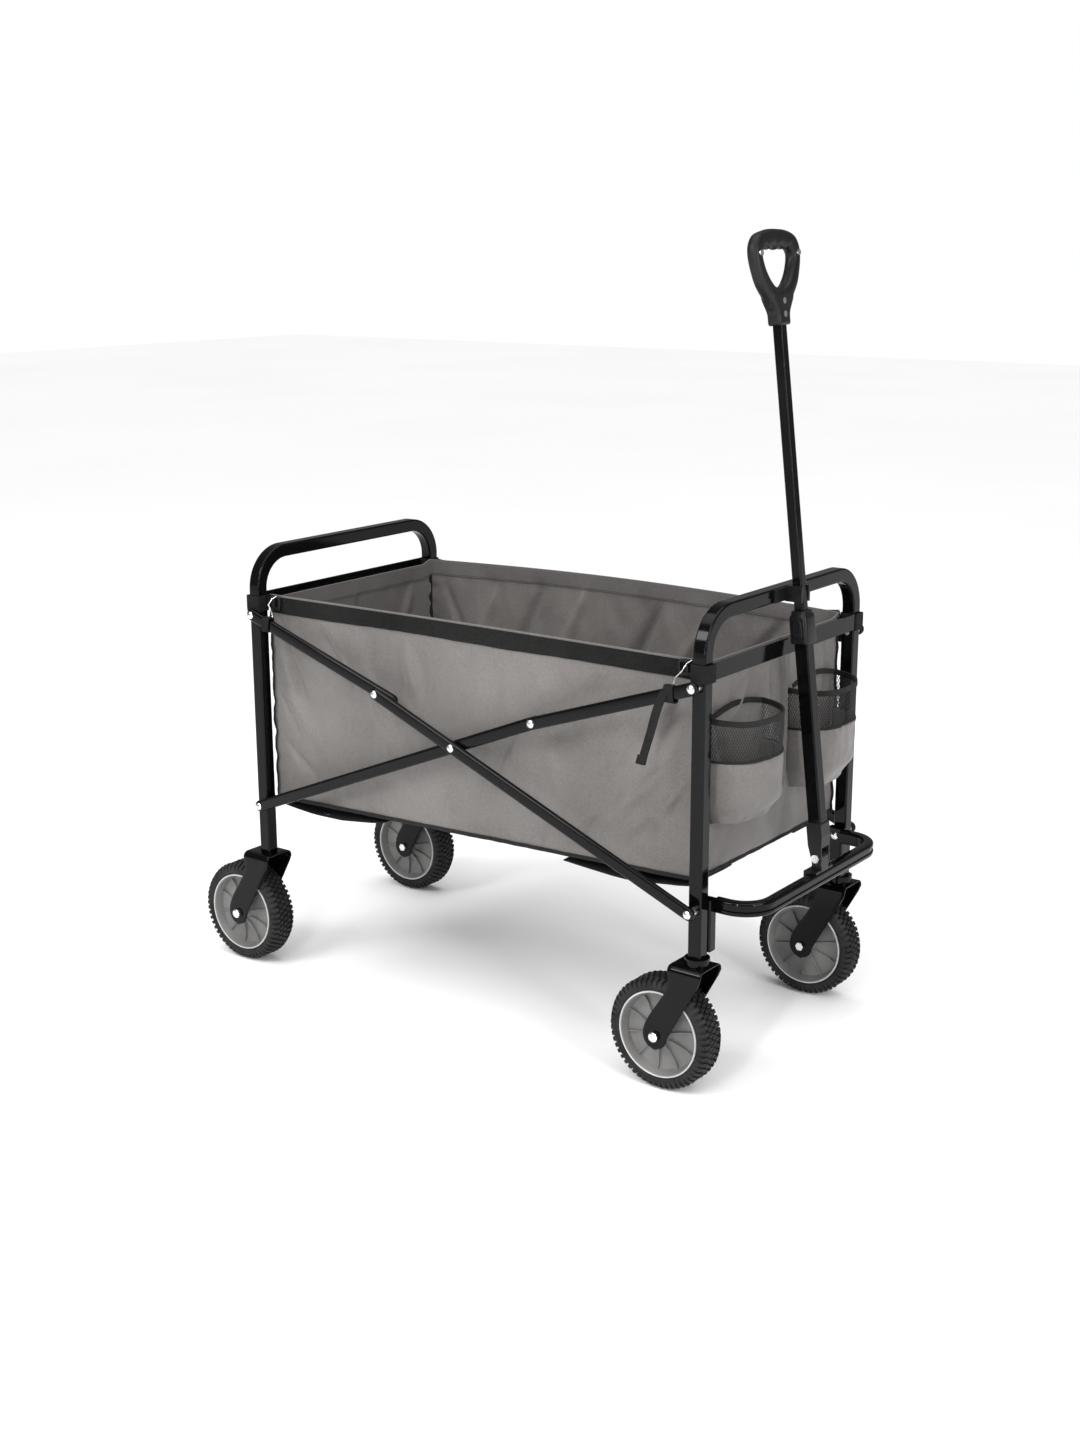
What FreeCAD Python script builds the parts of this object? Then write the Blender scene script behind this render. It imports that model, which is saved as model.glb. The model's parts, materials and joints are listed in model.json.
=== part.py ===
import FreeCAD, Part
import math
import os
import re
import Sketcher
from FreeCAD import Placement, Rotation, Vector

# A folding four-wheel wagon with a telescopic pull handle, in millimetres.
# +X is the pulling direction, +Y the wagon's left side, +Z up. The origin is on the ground,
# under the middle of the whole wagon's outline.

doc = FreeCAD.newDocument("pull_wagon")
sheet = doc.addObject("Spreadsheet::Sheet", "Dimensions")
CELLS = [
    ("half_length", 441, "middle of the wagon's frame to the legs' centres, along X"),
    ("leg_side", 225, "middle to the legs' centres, along Y"),
    ("tube", 22, "side of the square frame tube"),
    ("tube_wall", 1.2, "wall of every tube"),
    ("tube_round", 3, "outer corner radius of the square frame tube"),
    ("hoop_top", 745, "height of the end hoops"),
    ("hoop_bend", 60, "radius of the hoops' upper bends, on the tube's centre line"),
    ("bow_low", 666, "height where the legs meet the hoops' bent bows"),
    ("front_leg_low", 220, "lower end of the front legs"),
    ("rear_leg_low", 208, "lower end of the rear legs"),
    ("bar_high", 25, "height of the flat crossbars"),
    ("bar_thick", 3, "thickness of the flat crossbars"),
    ("bar_low", 640, "lower edge of the flat crossbars"),
    ("low_pivot", 294.7, "height of the lower linkage pivots on the legs"),
    ("pivot_gap", 338, "lower to upper linkage pivot on a leg"),
    ("cross_rise", 179.5, "height of the cross pivot above the lower pivots"),
    ("arm_past", 170, "cross pivot to elbow, along an arm"),
    ("link_past", 28, "length of the rear link past its elbow pin"),
    ("link_high", 20, "height of the linkage tube"),
    ("link_deep", 10, "depth of the linkage tube"),
    ("first_layer", 0.6, "gap between a leg and the linkage tube beside it"),
    ("layer_gap", 0.4, "gap between the two layers of linkage tube"),
    ("pin_radius", 4, "radius of the linkage rivets and the axle bolts"),
    ("pin_play", 0.06, "radial clearance of every turning pin"),
    ("head_radius", 6.5, "radius of the rivet heads"),
    ("head_high", 3, "height of the rivet heads"),
    ("wheel_radius", 89, "outer radius of the tyres"),
    ("tyre_wide", 50, "width of the tyres"),
    ("rim_radius", 69, "radius where a tyre sits on its rim"),
    ("barrel_bore", 63, "inner radius of a rim's barrel"),
    ("hub_radius", 13, "radius of a wheel's hub at its ends"),
    ("web_root", 14, "thickness of a wheel's web at the hub"),
    ("web_edge", 8, "thickness of a wheel's web at the rim"),
    ("trail", 54.2, "leg centre to axle, rearward"),
    ("fork_gap", 56, "space between a fork's cheeks"),
    ("fork_plate", 2.5, "thickness of the fork plate"),
    ("fork_top", 208, "height of a fork's crown"),
    ("crown_rear", 34, "leg centre to the rear edge of a fork's crown"),
    ("crown_front", 24, "leg centre to the front edge of a fork's crown"),
    ("crown_high", 18, "height of a crown's front edge"),
    ("cheek_rear", 40, "crown to the start of a cheek's slope, at its rear edge"),
    ("cheek_round", 21, "radius of a cheek's round end"),
    ("bolt_head", 5, "height of the axle bolts' heads and nuts"),
    ("stem_radius", 6, "radius of a caster's stem"),
    ("stem_nut", 10, "height of the nut over a caster's stem"),
    ("cup_radius", 19, "radius of a swivel cup"),
    ("bumper_front", 529, "middle of the frame to the bumper's front face"),
    ("bumper_side", 196, "middle to the bumper tube's centre line, along Y"),
    ("bumper_low", 285.6, "lower face of the bumper"),
    ("bumper_high", 22, "height of the bumper tube"),
    ("bumper_deep", 18, "depth of the bumper tube"),
    ("bumper_bend", 46, "radius of the bumper's corners, on its centre line"),
    ("groove_high", 7, "height of the groove along the bumper"),
    ("groove_deep", 3, "depth of the groove along the bumper"),
    ("bracket_deep", 18, "depth of the leg brackets along Y"),
    ("bracket_long", 28, "length of the leg brackets along X"),
    ("bracket_low", 226, "lower end of the leg brackets"),
    ("bracket_top", 307, "upper end of the leg brackets"),
    ("handle_pivot", 519.8, "middle of the frame to the handle's pivot, along X"),
    ("handle_low", 330, "height of the handle's pivot"),
    ("handle_lean", 7, "degrees the stowed handle leans back"),
    ("sleeve_low", 332, "pivot to the sleeve's lower end, along the handle"),
    ("sleeve_long", 50, "length of the sleeve"),
    ("sleeve_deep", 30, "depth of the sleeve"),
    ("sleeve_wide", 33, "width of the sleeve"),
    ("inner_tube", 16, "side of the inner handle tube"),
    ("slide_play", 0.3, "gap between parts that slide along the handle"),
    ("inner_low", 326, "pivot to the inner tube's lower end, along the handle"),
    ("grip_low", 801, "pivot to the grip's lower end, along the handle"),
    ("grip_thick", 24, "thickness of the grip"),
    ("cloth", 2, "thickness of the fabric"),
    ("cloth_low", 312, "lower edge of the fabric walls"),
    ("cloth_top", 664, "upper edge of the fabric walls"),
    ("cloth_gap", 0.6, "gap between a fabric panel and what it hangs beside"),
    ("pocket_side", 115, "middle to a pocket's centre, along Y"),
    ("pocket_half", 76, "half width of a pocket"),
    ("pocket_deep", 68, "how far a pocket stands out"),
    ("pocket_low", 414, "lower end of a pocket"),
    ("pocket_top", 578, "rim of a pocket"),
]
for row, (alias, number, meaning) in enumerate(CELLS, 1):
    sheet.set(f"A{row}", meaning)
    sheet.set(f"B{row}", str(number))
    sheet.setAlias(f"B{row}", alias)
doc.recompute()

D = {alias: float(sheet.get(alias)) for alias, _, _ in CELLS}
ALIAS = re.compile(r"\b(" + "|".join(sorted(D, key=len, reverse=True)) + r")\b")
PARTS = {}
SIDES = (("right", -1), ("left", 1))

# the outline runs from the rear tyres to the bumper, and its middle is the origin
MIDDLE = (D["wheel_radius"] + D["trail"] + D["half_length"] - D["bumper_front"]) / 2
REAR = MIDDLE - D["half_length"]
FRONT = MIDDLE + D["half_length"]

# the side linkage: ARM is lower pivot to cross pivot, and its angle is the open wagon's
ARM = math.hypot(D["half_length"], D["cross_rise"])
OPEN_ANGLE = math.degrees(math.atan2(D["cross_rise"], D["half_length"]))
ELBOW_OUT = D["arm_past"] * math.cos(math.radians(OPEN_ANGLE))
ELBOW_UP = D["cross_rise"] + D["arm_past"] * math.sin(math.radians(OPEN_ANGLE))
LINK = math.hypot(D["half_length"] - ELBOW_OUT, D["pivot_gap"] - ELBOW_UP)
LINK_ANGLE = math.degrees(math.atan2(D["pivot_gap"] - ELBOW_UP, D["half_length"] - ELBOW_OUT))
HIGH_PIVOT = D["low_pivot"] + D["pivot_gap"]
LAYERS = [
    D["leg_side"] + D["tube"] / 2 + D["first_layer"] + D["link_deep"] / 2,
    D["leg_side"] + D["tube"] / 2 + D["first_layer"] + 1.5 * D["link_deep"] + D["layer_gap"],
]
TURN_TO_Y = Rotation(Vector(1, 0, 0), 90)


def rule(text):
    """An expression of the sheet's cells, from one that names them alone."""
    return ALIAS.sub(r"Dimensions.\1", str(text))


def number(text):
    """The value of the same expression."""
    value = sheet.evalExpression(rule(text))
    return float(getattr(value, "Value", value))


def bind(thing, **sizes):
    for name, text in sizes.items():
        thing.setExpression(name, rule(text))
    return thing


def at(thing, x, y, z, turn=None):
    """Puts a primitive or body in place; each coordinate is a number or an expression."""
    if turn is not None:
        thing.Placement = Placement(Vector(), turn)
    for axis, text in zip("xyz", (x, y, z)):
        thing.setExpression(".Placement.Base." + axis, rule(text))
    return thing


def name_part(thing, label):
    thing.Label = label
    PARTS[label] = thing
    return thing


def box(name, size, corner):
    block = doc.addObject("Part::Box", name)
    bind(block, Length=size[0], Width=size[1], Height=size[2])
    return at(block, *corner)


def rod(name, radius, length, start, turn=None):
    """A round bar from start, along Z or along the turned Z."""
    bar = bind(doc.addObject("Part::Cylinder", name), Radius=radius, Height=length)
    return at(bar, *start, turn)


def fuse(name, pieces):
    joined = doc.addObject("Part::MultiFuse", name)
    joined.Shapes = pieces
    return joined


def cut(name, base, tool):
    rest = doc.addObject("Part::Cut", name)
    rest.Base = base
    rest.Tool = tool
    return rest


def group(label, pieces):
    """Several separate solids in one node."""
    together = doc.addObject("Part::Compound", label + "_set")
    together.Links = pieces
    return name_part(together, label)


def new_body(label):
    return name_part(doc.addObject("PartDesign::Body", label + "_body"), label)


def sketch_on(body, role, name, raise_by="0"):
    """An empty sketch on one of the body's own origin planes."""
    sketch = body.newObject("Sketcher::SketchObject", name)
    plane = next(f for f in body.Origin.OriginFeatures if f.Role == role)
    sketch.AttachmentSupport = [(plane, "")]
    sketch.MapMode = "FlatFace"
    sketch.setExpression(".AttachmentOffset.Base.z", rule(raise_by))
    return sketch


def constrain(sketch, name, text, *wanted):
    """A driving distance, radius or angle whose value is an expression."""
    index = sketch.addConstraint(Sketcher.Constraint(*wanted, number(text)))
    sketch.renameConstraint(index, name)
    sketch.setExpression("Constraints." + name, rule(text))


def tie(sketch, *wanted):
    sketch.addConstraint(Sketcher.Constraint(*wanted))


def draw_rectangle(sketch, tag, low, high):
    """A rectangle from its low corner to its high corner, as expressions."""
    x0, y0, x1, y1 = (number(t) for t in (*low, *high))
    corners = [Vector(x0, y0), Vector(x1, y0), Vector(x1, y1), Vector(x0, y1)]
    first = sketch.GeometryCount
    for n in range(4):
        sketch.addGeometry(Part.LineSegment(corners[n], corners[(n + 1) % 4]))
    for n in range(4):
        tie(sketch, "Coincident", first + n, 2, first + (n + 1) % 4, 1)
    for n in (0, 2):
        tie(sketch, "Horizontal", first + n)
        tie(sketch, "Vertical", first + n + 1)
    constrain(sketch, tag + "_left", low[0], "DistanceX", -1, 1, first, 1)
    constrain(sketch, tag + "_base", low[1], "DistanceY", -1, 1, first, 1)
    constrain(sketch, tag + "_right", high[0], "DistanceX", -1, 1, first + 1, 2)
    constrain(sketch, tag + "_top", high[1], "DistanceY", -1, 1, first + 1, 2)


def draw_rounded(sketch, tag, centre, size, radius):
    """A rectangle with rounded corners about a centre, as expressions."""
    cx, cy, w, d, r = (number(t) for t in (*centre, *size, radius))
    x, y = w / 2, d / 2
    first = sketch.GeometryCount
    middle = Vector(cx, cy)
    runs = [
        (Vector(r - x, -y), Vector(x - r, -y)),
        (Vector(x, r - y), Vector(x, y - r)),
        (Vector(x - r, y), Vector(r - x, y)),
        (Vector(-x, y - r), Vector(-x, r - y)),
    ]
    turns = [(x - r, r - y, 270), (x - r, y - r, 0), (r - x, y - r, 90), (r - x, r - y, 180)]
    for (start, end), (ax, ay, angle) in zip(runs, turns):
        sketch.addGeometry(Part.LineSegment(start + middle, end + middle))
        circle = Part.Circle(Vector(ax, ay) + middle, Vector(0, 0, 1), r)
        begin = math.radians(angle)
        sketch.addGeometry(Part.ArcOfCircle(circle, begin, begin + math.pi / 2))
    for n in range(4):
        line, arc, after = first + 2 * n, first + 2 * n + 1, first + (2 * n + 2) % 8
        tie(sketch, "Tangent", line, 2, arc, 1)
        tie(sketch, "Tangent", arc, 2, after, 1)
    tie(sketch, "Horizontal", first)
    tie(sketch, "Vertical", first + 2)
    tie(sketch, "Horizontal", first + 4)
    tie(sketch, "Vertical", first + 6)
    for n in (3, 5, 7):
        tie(sketch, "Equal", first + 1, first + n)
    constrain(sketch, tag + "_radius", radius, "Radius", first + 1)
    right, back = f"{centre[0]} + ({size[0]}) / 2", f"{centre[1]} - ({size[1]}) / 2"
    left, top = f"{centre[0]} - ({size[0]}) / 2", f"{centre[1]} + ({size[1]}) / 2"
    constrain(sketch, tag + "_right", right, "DistanceX", -1, 1, first + 2, 1)
    constrain(sketch, tag + "_base", back, "DistanceY", -1, 1, first, 1)
    constrain(sketch, tag + "_left", left, "DistanceX", -1, 1, first + 6, 1)
    constrain(sketch, tag + "_top", top, "DistanceY", -1, 1, first + 4, 1)


def draw_circle(sketch, tag, centre, radius):
    x, y = number(centre[0]), number(centre[1])
    index = sketch.addGeometry(Part.Circle(Vector(x, y), Vector(0, 0, 1), number(radius)))
    constrain(sketch, tag + "_radius", radius, "Radius", index)
    constrain(sketch, tag + "_x", centre[0], "DistanceX", -1, 1, index, 3)
    constrain(sketch, tag + "_y", centre[1], "DistanceY", -1, 1, index, 3)


def draw_slot(sketch, length, radius):
    """A bar with round ends, from the origin along the sketch's X."""
    far, r = number(length), number(radius)
    sketch.addGeometry(Part.LineSegment(Vector(0, -r), Vector(far, -r)))
    round_end = Part.Circle(Vector(far, 0), Vector(0, 0, 1), r)
    sketch.addGeometry(Part.ArcOfCircle(round_end, -math.pi / 2, math.pi / 2))
    sketch.addGeometry(Part.LineSegment(Vector(far, r), Vector(0, r)))
    near_end = Part.Circle(Vector(0, 0), Vector(0, 0, 1), r)
    sketch.addGeometry(Part.ArcOfCircle(near_end, math.pi / 2, 3 * math.pi / 2))
    for n in range(4):
        tie(sketch, "Tangent", n, 2, (n + 1) % 4, 1)
    tie(sketch, "Coincident", 3, 3, -1, 1)
    tie(sketch, "PointOnObject", 1, 3, -1)
    constrain(sketch, "far", length, "DistanceX", -1, 1, 1, 3)
    constrain(sketch, "round", radius, "Radius", 1)


def draw_outline(sketch, points):
    """A closed outline of straight runs through points given as pairs of expressions."""
    values = [Vector(number(x), number(y)) for x, y in points]
    first = sketch.GeometryCount
    for n, start in enumerate(values):
        sketch.addGeometry(Part.LineSegment(start, values[(n + 1) % len(values)]))
    for n, (x, y) in enumerate(points):
        tie(sketch, "Coincident", first + n, 2, first + (n + 1) % len(points), 1)
        constrain(sketch, f"x{n}", x, "DistanceX", -1, 1, first + n, 1)
        constrain(sketch, f"y{n}", y, "DistanceY", -1, 1, first + n, 1)


def draw_bend(sketch, half, low, high, radius):
    """An open U: up at +half, round, across at high, round, and down at -half."""
    w, z0, z1, r = (number(t) for t in (half, low, high, radius))
    sketch.addGeometry(Part.LineSegment(Vector(w, z0), Vector(w, z1 - r)))
    circle = Part.Circle(Vector(w - r, z1 - r), Vector(0, 0, 1), r)
    sketch.addGeometry(Part.ArcOfCircle(circle, 0, math.pi / 2))
    sketch.addGeometry(Part.LineSegment(Vector(w - r, z1), Vector(r - w, z1)))
    circle = Part.Circle(Vector(r - w, z1 - r), Vector(0, 0, 1), r)
    sketch.addGeometry(Part.ArcOfCircle(circle, math.pi / 2, math.pi))
    sketch.addGeometry(Part.LineSegment(Vector(-w, z1 - r), Vector(-w, z0)))
    for n in range(4):
        tie(sketch, "Tangent", n, 2, n + 1, 1)
    tie(sketch, "Vertical", 0)
    tie(sketch, "Horizontal", 2)
    tie(sketch, "Vertical", 4)
    tie(sketch, "Equal", 1, 3)
    constrain(sketch, "bend", radius, "Radius", 1)
    constrain(sketch, "side", half, "DistanceX", -1, 1, 0, 1)
    constrain(sketch, "other_side", f"0 - ({half})", "DistanceX", -1, 1, 4, 2)
    constrain(sketch, "high", high, "DistanceY", -1, 1, 2, 1)
    constrain(sketch, "low", low, "DistanceY", -1, 1, 0, 1)
    constrain(sketch, "other_low", low, "DistanceY", -1, 1, 4, 2)


def pad(body, sketch, length, middle=False, back=False):
    feature = body.newObject("PartDesign::Pad", sketch.Name + "_pad")
    feature.Profile = sketch
    feature.Midplane = middle
    feature.Reversed = back
    return bind(feature, Length=length)


def pocket(body, sketch, length, middle=False, back=False):
    feature = body.newObject("PartDesign::Pocket", sketch.Name + "_pocket")
    feature.Profile = sketch
    feature.Midplane = middle
    feature.Reversed = back
    return bind(feature, Length=length)


def pipe(body, profile, path):
    feature = body.newObject("PartDesign::AdditivePipe", profile.Name + "_pipe")
    feature.Profile = profile
    feature.Spine = path
    return feature


def draw_tube(body, name, y, height):
    """The section of the square frame tube, at a height."""
    ring = sketch_on(body, "XY_Plane", name, height)
    draw_rounded(ring, "outer", ("0", y), ("tube", "tube"), "tube_round")
    bore = "tube - 2 * tube_wall"
    draw_rounded(ring, "inner", ("0", y), (bore, bore), "tube_round - tube_wall")
    return ring


def hoop(word, x, leg_low):
    """An end hoop of square tube: a bent bow on two legs, which the side linkage's pins cross."""
    bow = new_body(f"{word}_hoop")
    path = sketch_on(bow, "YZ_Plane", f"{word}_bow_path")
    draw_bend(path, "leg_side", "bow_low", "hoop_top - tube / 2", "hoop_bend")
    pipe(bow, draw_tube(bow, f"{word}_bow_ring", "leg_side", "bow_low"), path)
    at(bow, x, 0, 0)
    legs = []
    for side_word, side in SIDES:
        name = f"{word}_{side_word}_leg"
        leg = doc.addObject("PartDesign::Body", name + "_body")
        pad(leg, draw_tube(leg, name + "_ring", "0", leg_low), f"bow_low - {leg_low}")
        holes = sketch_on(leg, "XZ_Plane", name + "_holes")
        for n, height in enumerate(("low_pivot", "low_pivot + pivot_gap")):
            draw_circle(holes, f"pivot{n}", ("0", height), "pin_radius")
        pocket(leg, holes, "2 * tube", middle=True)
        legs.append(at(leg, x, f"{side} * leg_side", 0))
    group(f"{word}_legs", legs)


def crossbar(label, x):
    """A flat bar across the outer faces of a hoop's legs."""
    bar = box(label + "_bar", ("bar_thick", "2 * leg_side + tube", "bar_high"),
              (x, "0 - leg_side - tube / 2", "bar_low"))
    return name_part(bar, label)


def link(label, side, layer, start, angle, length, pins, tail="0"):
    """A flat-oval tube of the side linkage with swaged, round ends.

    It runs from its first pivot, start, at an angle above +X. pins are the distances of its pivots."""
    body = new_body(label)
    outline = sketch_on(body, "XZ_Plane", label + "_side")
    draw_slot(outline, f"{length} + {tail}", "link_high / 2")
    for n, place in enumerate(pins):
        draw_circle(outline, f"pin{n}", (place, "0"), "pin_radius + pin_play")
    pad(body, outline, "link_deep", middle=True)
    hollow = sketch_on(body, "XZ_Plane", label + "_bore")
    draw_rectangle(hollow, "bore", ("link_high", "tube_wall - link_high / 2"),
                   (f"{length} - link_high", "link_high / 2 - tube_wall"))
    pocket(body, hollow, "link_deep - 2 * tube_wall", middle=True)
    base = Vector(start[0], side * LAYERS[layer], start[1])
    body.Placement = Placement(base, Rotation(Vector(0, 1, 0), -angle))
    return body


def rivet(name, side, x, z, inner, outer, heads=(True, True)):
    """A domed rivet along Y, from inner to outer distance from the middle plane."""
    low, high = min(side * inner, side * outer), max(side * inner, side * outer)
    shank = rod(name + "_shank", "pin_radius", high - low, (x, high, z), TURN_TO_Y)
    pieces = [shank]
    ends = [(side * inner, -side), (side * outer, side)]
    for n, ((y, way), wanted) in enumerate(zip(ends, heads)):
        if not wanted:
            continue
        dome = doc.addObject("Part::Sphere", f"{name}_dome{n}")
        bind(dome, Radius="(head_radius ^ 2 + head_high ^ 2) / (2 * head_high)")
        sink = number("(head_radius ^ 2 - head_high ^ 2) / (2 * head_high)")
        at(dome, x, y - way * sink, z)
        face = y if way > 0 else f"{y} - head_high"
        block = box(f"{name}_block{n}", ("2 * head_radius", "head_high", "2 * head_radius"),
                    (f"{x} - head_radius", face, f"{z} - head_radius"))
        cap = doc.addObject("Part::Common", f"{name}_cap{n}")
        cap.Base = dome
        cap.Tool = block
        pieces.append(cap)
    return fuse(name, pieces)


# end frames
hoop("rear", REAR, "rear_leg_low")
hoop("front", FRONT, "front_leg_low")
crossbar("rear_crossbar", f"{REAR} - tube / 2 - bar_thick")
crossbar("front_crossbar", f"{FRONT} + tube / 2")

# side linkage
for word, side in SIDES:
    cross = f"{ARM}"
    elbow = f"{ARM} + arm_past"
    link(f"{word}_arm_rear", side, 0, (REAR, D["low_pivot"]), OPEN_ANGLE, elbow, ["0", cross, elbow])
    link(f"{word}_arm_front", side, 1, (FRONT, D["low_pivot"]), 180 - OPEN_ANGLE, elbow,
         ["0", cross, elbow])
    link(f"{word}_link_rear", side, 0, (REAR, HIGH_PIVOT), -LINK_ANGLE, f"{LINK}",
         ["0", f"{LINK}"], "link_past")
    link(f"{word}_link_front", side, 1, (FRONT, HIGH_PIVOT), 180 + LINK_ANGLE, f"{LINK}",
         ["0", f"{LINK}"])

# rivets: on the frames they run through the leg, and at an elbow they stay in the outer tube
LEG_IN = D["leg_side"] - D["tube"] / 2
LEG_OUT = D["leg_side"] + D["tube"] / 2
LAYER_OUT = [y + D["link_deep"] / 2 for y in LAYERS]
LAYER_IN = [y - D["link_deep"] / 2 for y in LAYERS]
BRACKET_IN = LEG_IN - D["bracket_deep"]
HEAD_PLAY = 0.2
ELBOWS = {"front": (MIDDLE - ELBOW_OUT, D["low_pivot"] + ELBOW_UP),
          "rear": (MIDDLE + ELBOW_OUT, D["low_pivot"] + ELBOW_UP)}
CROSS = (MIDDLE, D["low_pivot"] + D["cross_rise"])

rear_rivets, front_rivets = [], []
for word, side in SIDES:
    for level, height in (("low", D["low_pivot"]), ("high", HIGH_PIVOT)):
        inner_head = level == "low"
        rear_rivets.append(rivet(f"rear_{word}_{level}_rivet", side, REAR, height, LEG_IN,
                                 LAYER_OUT[0] + HEAD_PLAY, (inner_head, True)))
        inside = BRACKET_IN if level == "low" else LEG_IN
        pin = rivet(f"front_{word}_{level}_rivet", side, FRONT, height, inside,
                    LAYER_OUT[1] + HEAD_PLAY, (inner_head, True))
        low_face = min(side * LEG_OUT, side * (LAYER_IN[1] - HEAD_PLAY))
        collar = rod(f"front_{word}_{level}_collar", "head_radius",
                     LAYER_IN[1] - HEAD_PLAY - LEG_OUT,
                     (FRONT, low_face + LAYER_IN[1] - HEAD_PLAY - LEG_OUT, height), TURN_TO_Y)
        front_rivets.append(fuse(f"front_{word}_{level}_pin", [pin, collar]))
    through = rivet(f"{word}_cross_rivet", side, *CROSS, LAYER_IN[0] - HEAD_PLAY,
                    LAYER_OUT[1] + HEAD_PLAY, (False, True))
    elbow = rivet(f"{word}_front_elbow_rivet", side, *ELBOWS["front"], LAYER_IN[1],
                  LAYER_OUT[1] + HEAD_PLAY, (False, True))
    group(f"{word}_arm_front_rivets", [through, elbow])
    elbow = rivet(f"{word}_rear_elbow_rivet", side, *ELBOWS["rear"], LAYER_IN[1],
                  LAYER_OUT[1] + HEAD_PLAY, (False, True))
    name_part(elbow, f"{word}_link_front_rivet")
group("rear_frame_rivets", rear_rivets)
group("front_frame_rivets", front_rivets)


def fork(label, x, side):
    """A bent-plate fork: a crown under the leg and two cheeks that trail to the axle."""
    body = doc.addObject("PartDesign::Body", label + "_body")
    body.Label = label
    shape = sketch_on(body, "XZ_Plane", label + "_side")
    slant, drop = "cheek_round * 2 / 3", "wheel_radius - cheek_round * 0.76"
    points = [("0 - crown_rear", "fork_top"), ("crown_front", "fork_top"),
              ("crown_front", "fork_top - crown_high"), ("0 - trail + cheek_round", "wheel_radius"),
              (f"0 - trail + {slant}", drop), ("0 - trail", "wheel_radius - cheek_round"),
              (f"0 - trail - {slant}", drop), ("0 - trail - cheek_round", "wheel_radius"),
              ("0 - crown_rear", "fork_top - cheek_rear")]
    draw_outline(shape, points)
    pad(body, shape, "fork_gap + 2 * fork_plate", middle=True)
    inside = sketch_on(body, "XZ_Plane", label + "_gap")
    draw_rectangle(inside, "gap", ("0 - trail - wheel_radius", "0"),
                   ("wheel_radius", "fork_top - fork_plate"))
    pocket(body, inside, "fork_gap", middle=True)
    hole = sketch_on(body, "XZ_Plane", label + "_axle_hole")
    draw_circle(hole, "axle", ("0 - trail", "wheel_radius"), "pin_radius")
    pocket(body, hole, "2 * fork_gap", middle=True)
    return at(body, x, f"{side} * leg_side", 0)


def axle(name, x, side):
    """A hexagon bolt through a fork and wheel, with its nut."""
    half = D["fork_gap"] / 2 + D["fork_plate"]
    centre = side * D["leg_side"]
    x, z = x - D["trail"], D["wheel_radius"]
    reach = half + D["bolt_head"]
    pieces = [rod(name + "_shank", "pin_radius", 2 * reach, (x, centre + reach, z), TURN_TO_Y)]
    for n, face in enumerate((centre + reach, centre - half)):
        hexagon = bind(doc.addObject("Part::Prism", f"{name}_hexagon{n}"),
                       Circumradius="pin_radius * 1.85", Height="bolt_head")
        hexagon.Polygon = 6
        pieces.append(at(hexagon, x, face, z, TURN_TO_Y))
    return fuse(name, pieces)


rear_forks, rear_axles = [], []
for word, side in SIDES:
    rear_forks.append(fork(f"rear_{word}_fork", REAR, side))
    rear_axles.append(axle(f"rear_{word}_axle_bolt", REAR, side))
group("rear_forks", rear_forks)
group("rear_axles", rear_axles)

CUP_PLAY = 0.5
CUP_LOW = D["fork_top"] + CUP_PLAY
STEM_HEAD_RADIUS, STEM_HEAD_HIGH = 9.5, 3
STEM_NUT_RADIUS = 9
BORE_PAST = 5
cups = []
for word, side in SIDES:
    centre = side * D["leg_side"]
    caster = fork(f"{word}_caster_fork", FRONT, side)
    hole = rod(f"{word}_caster_hole", "stem_radius", f"fork_plate + 2 * {BORE_PAST}",
               (FRONT, centre, f"fork_top - fork_plate - {BORE_PAST}"))
    name_part(cut(f"{word}_caster_plate", caster, hole), f"{word}_caster_fork")
    caster.Label = f"{word}_caster_blank"
    axle_bolt = axle(f"{word}_caster_axle_bolt", FRONT, side)
    head = rod(f"{word}_stem_head", STEM_HEAD_RADIUS, STEM_HEAD_HIGH,
               (FRONT, centre, f"fork_top - fork_plate - {STEM_HEAD_HIGH}"))
    shank = rod(f"{word}_stem_shank", "stem_radius", "front_leg_low - fork_top + fork_plate + stem_nut",
                (FRONT, centre, "fork_top - fork_plate"))
    nut = rod(f"{word}_stem_nut", STEM_NUT_RADIUS, "stem_nut", (FRONT, centre, f"front_leg_low + {CUP_PLAY}"))
    group(f"{word}_caster_bolts", [axle_bolt, fuse(f"{word}_stem_bolt", [head, shank, nut])])
    cup_high = D["front_leg_low"] - CUP_LOW
    cup = rod(f"{word}_cup_blank", "cup_radius", cup_high, (FRONT, centre, CUP_LOW))
    bore = rod(f"{word}_cup_bore", "stem_radius + pin_play", cup_high + 2 * BORE_PAST,
               (FRONT, centre, CUP_LOW - BORE_PAST))
    cups.append(cut(f"{word}_swivel_cup", cup, bore))
group("swivel_cups", cups)


def ring_section(body, name, points):
    """Turns an outline of (radius, offset along the axle) into a ring about Y."""
    section = sketch_on(body, "XY_Plane", name)
    draw_outline(section, points)
    turned = body.newObject("PartDesign::Revolution", name + "_turned")
    turned.Profile = section
    turned.ReferenceAxis = (section, ["V_Axis"])
    turned.Angle = 360
    return turned


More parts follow.
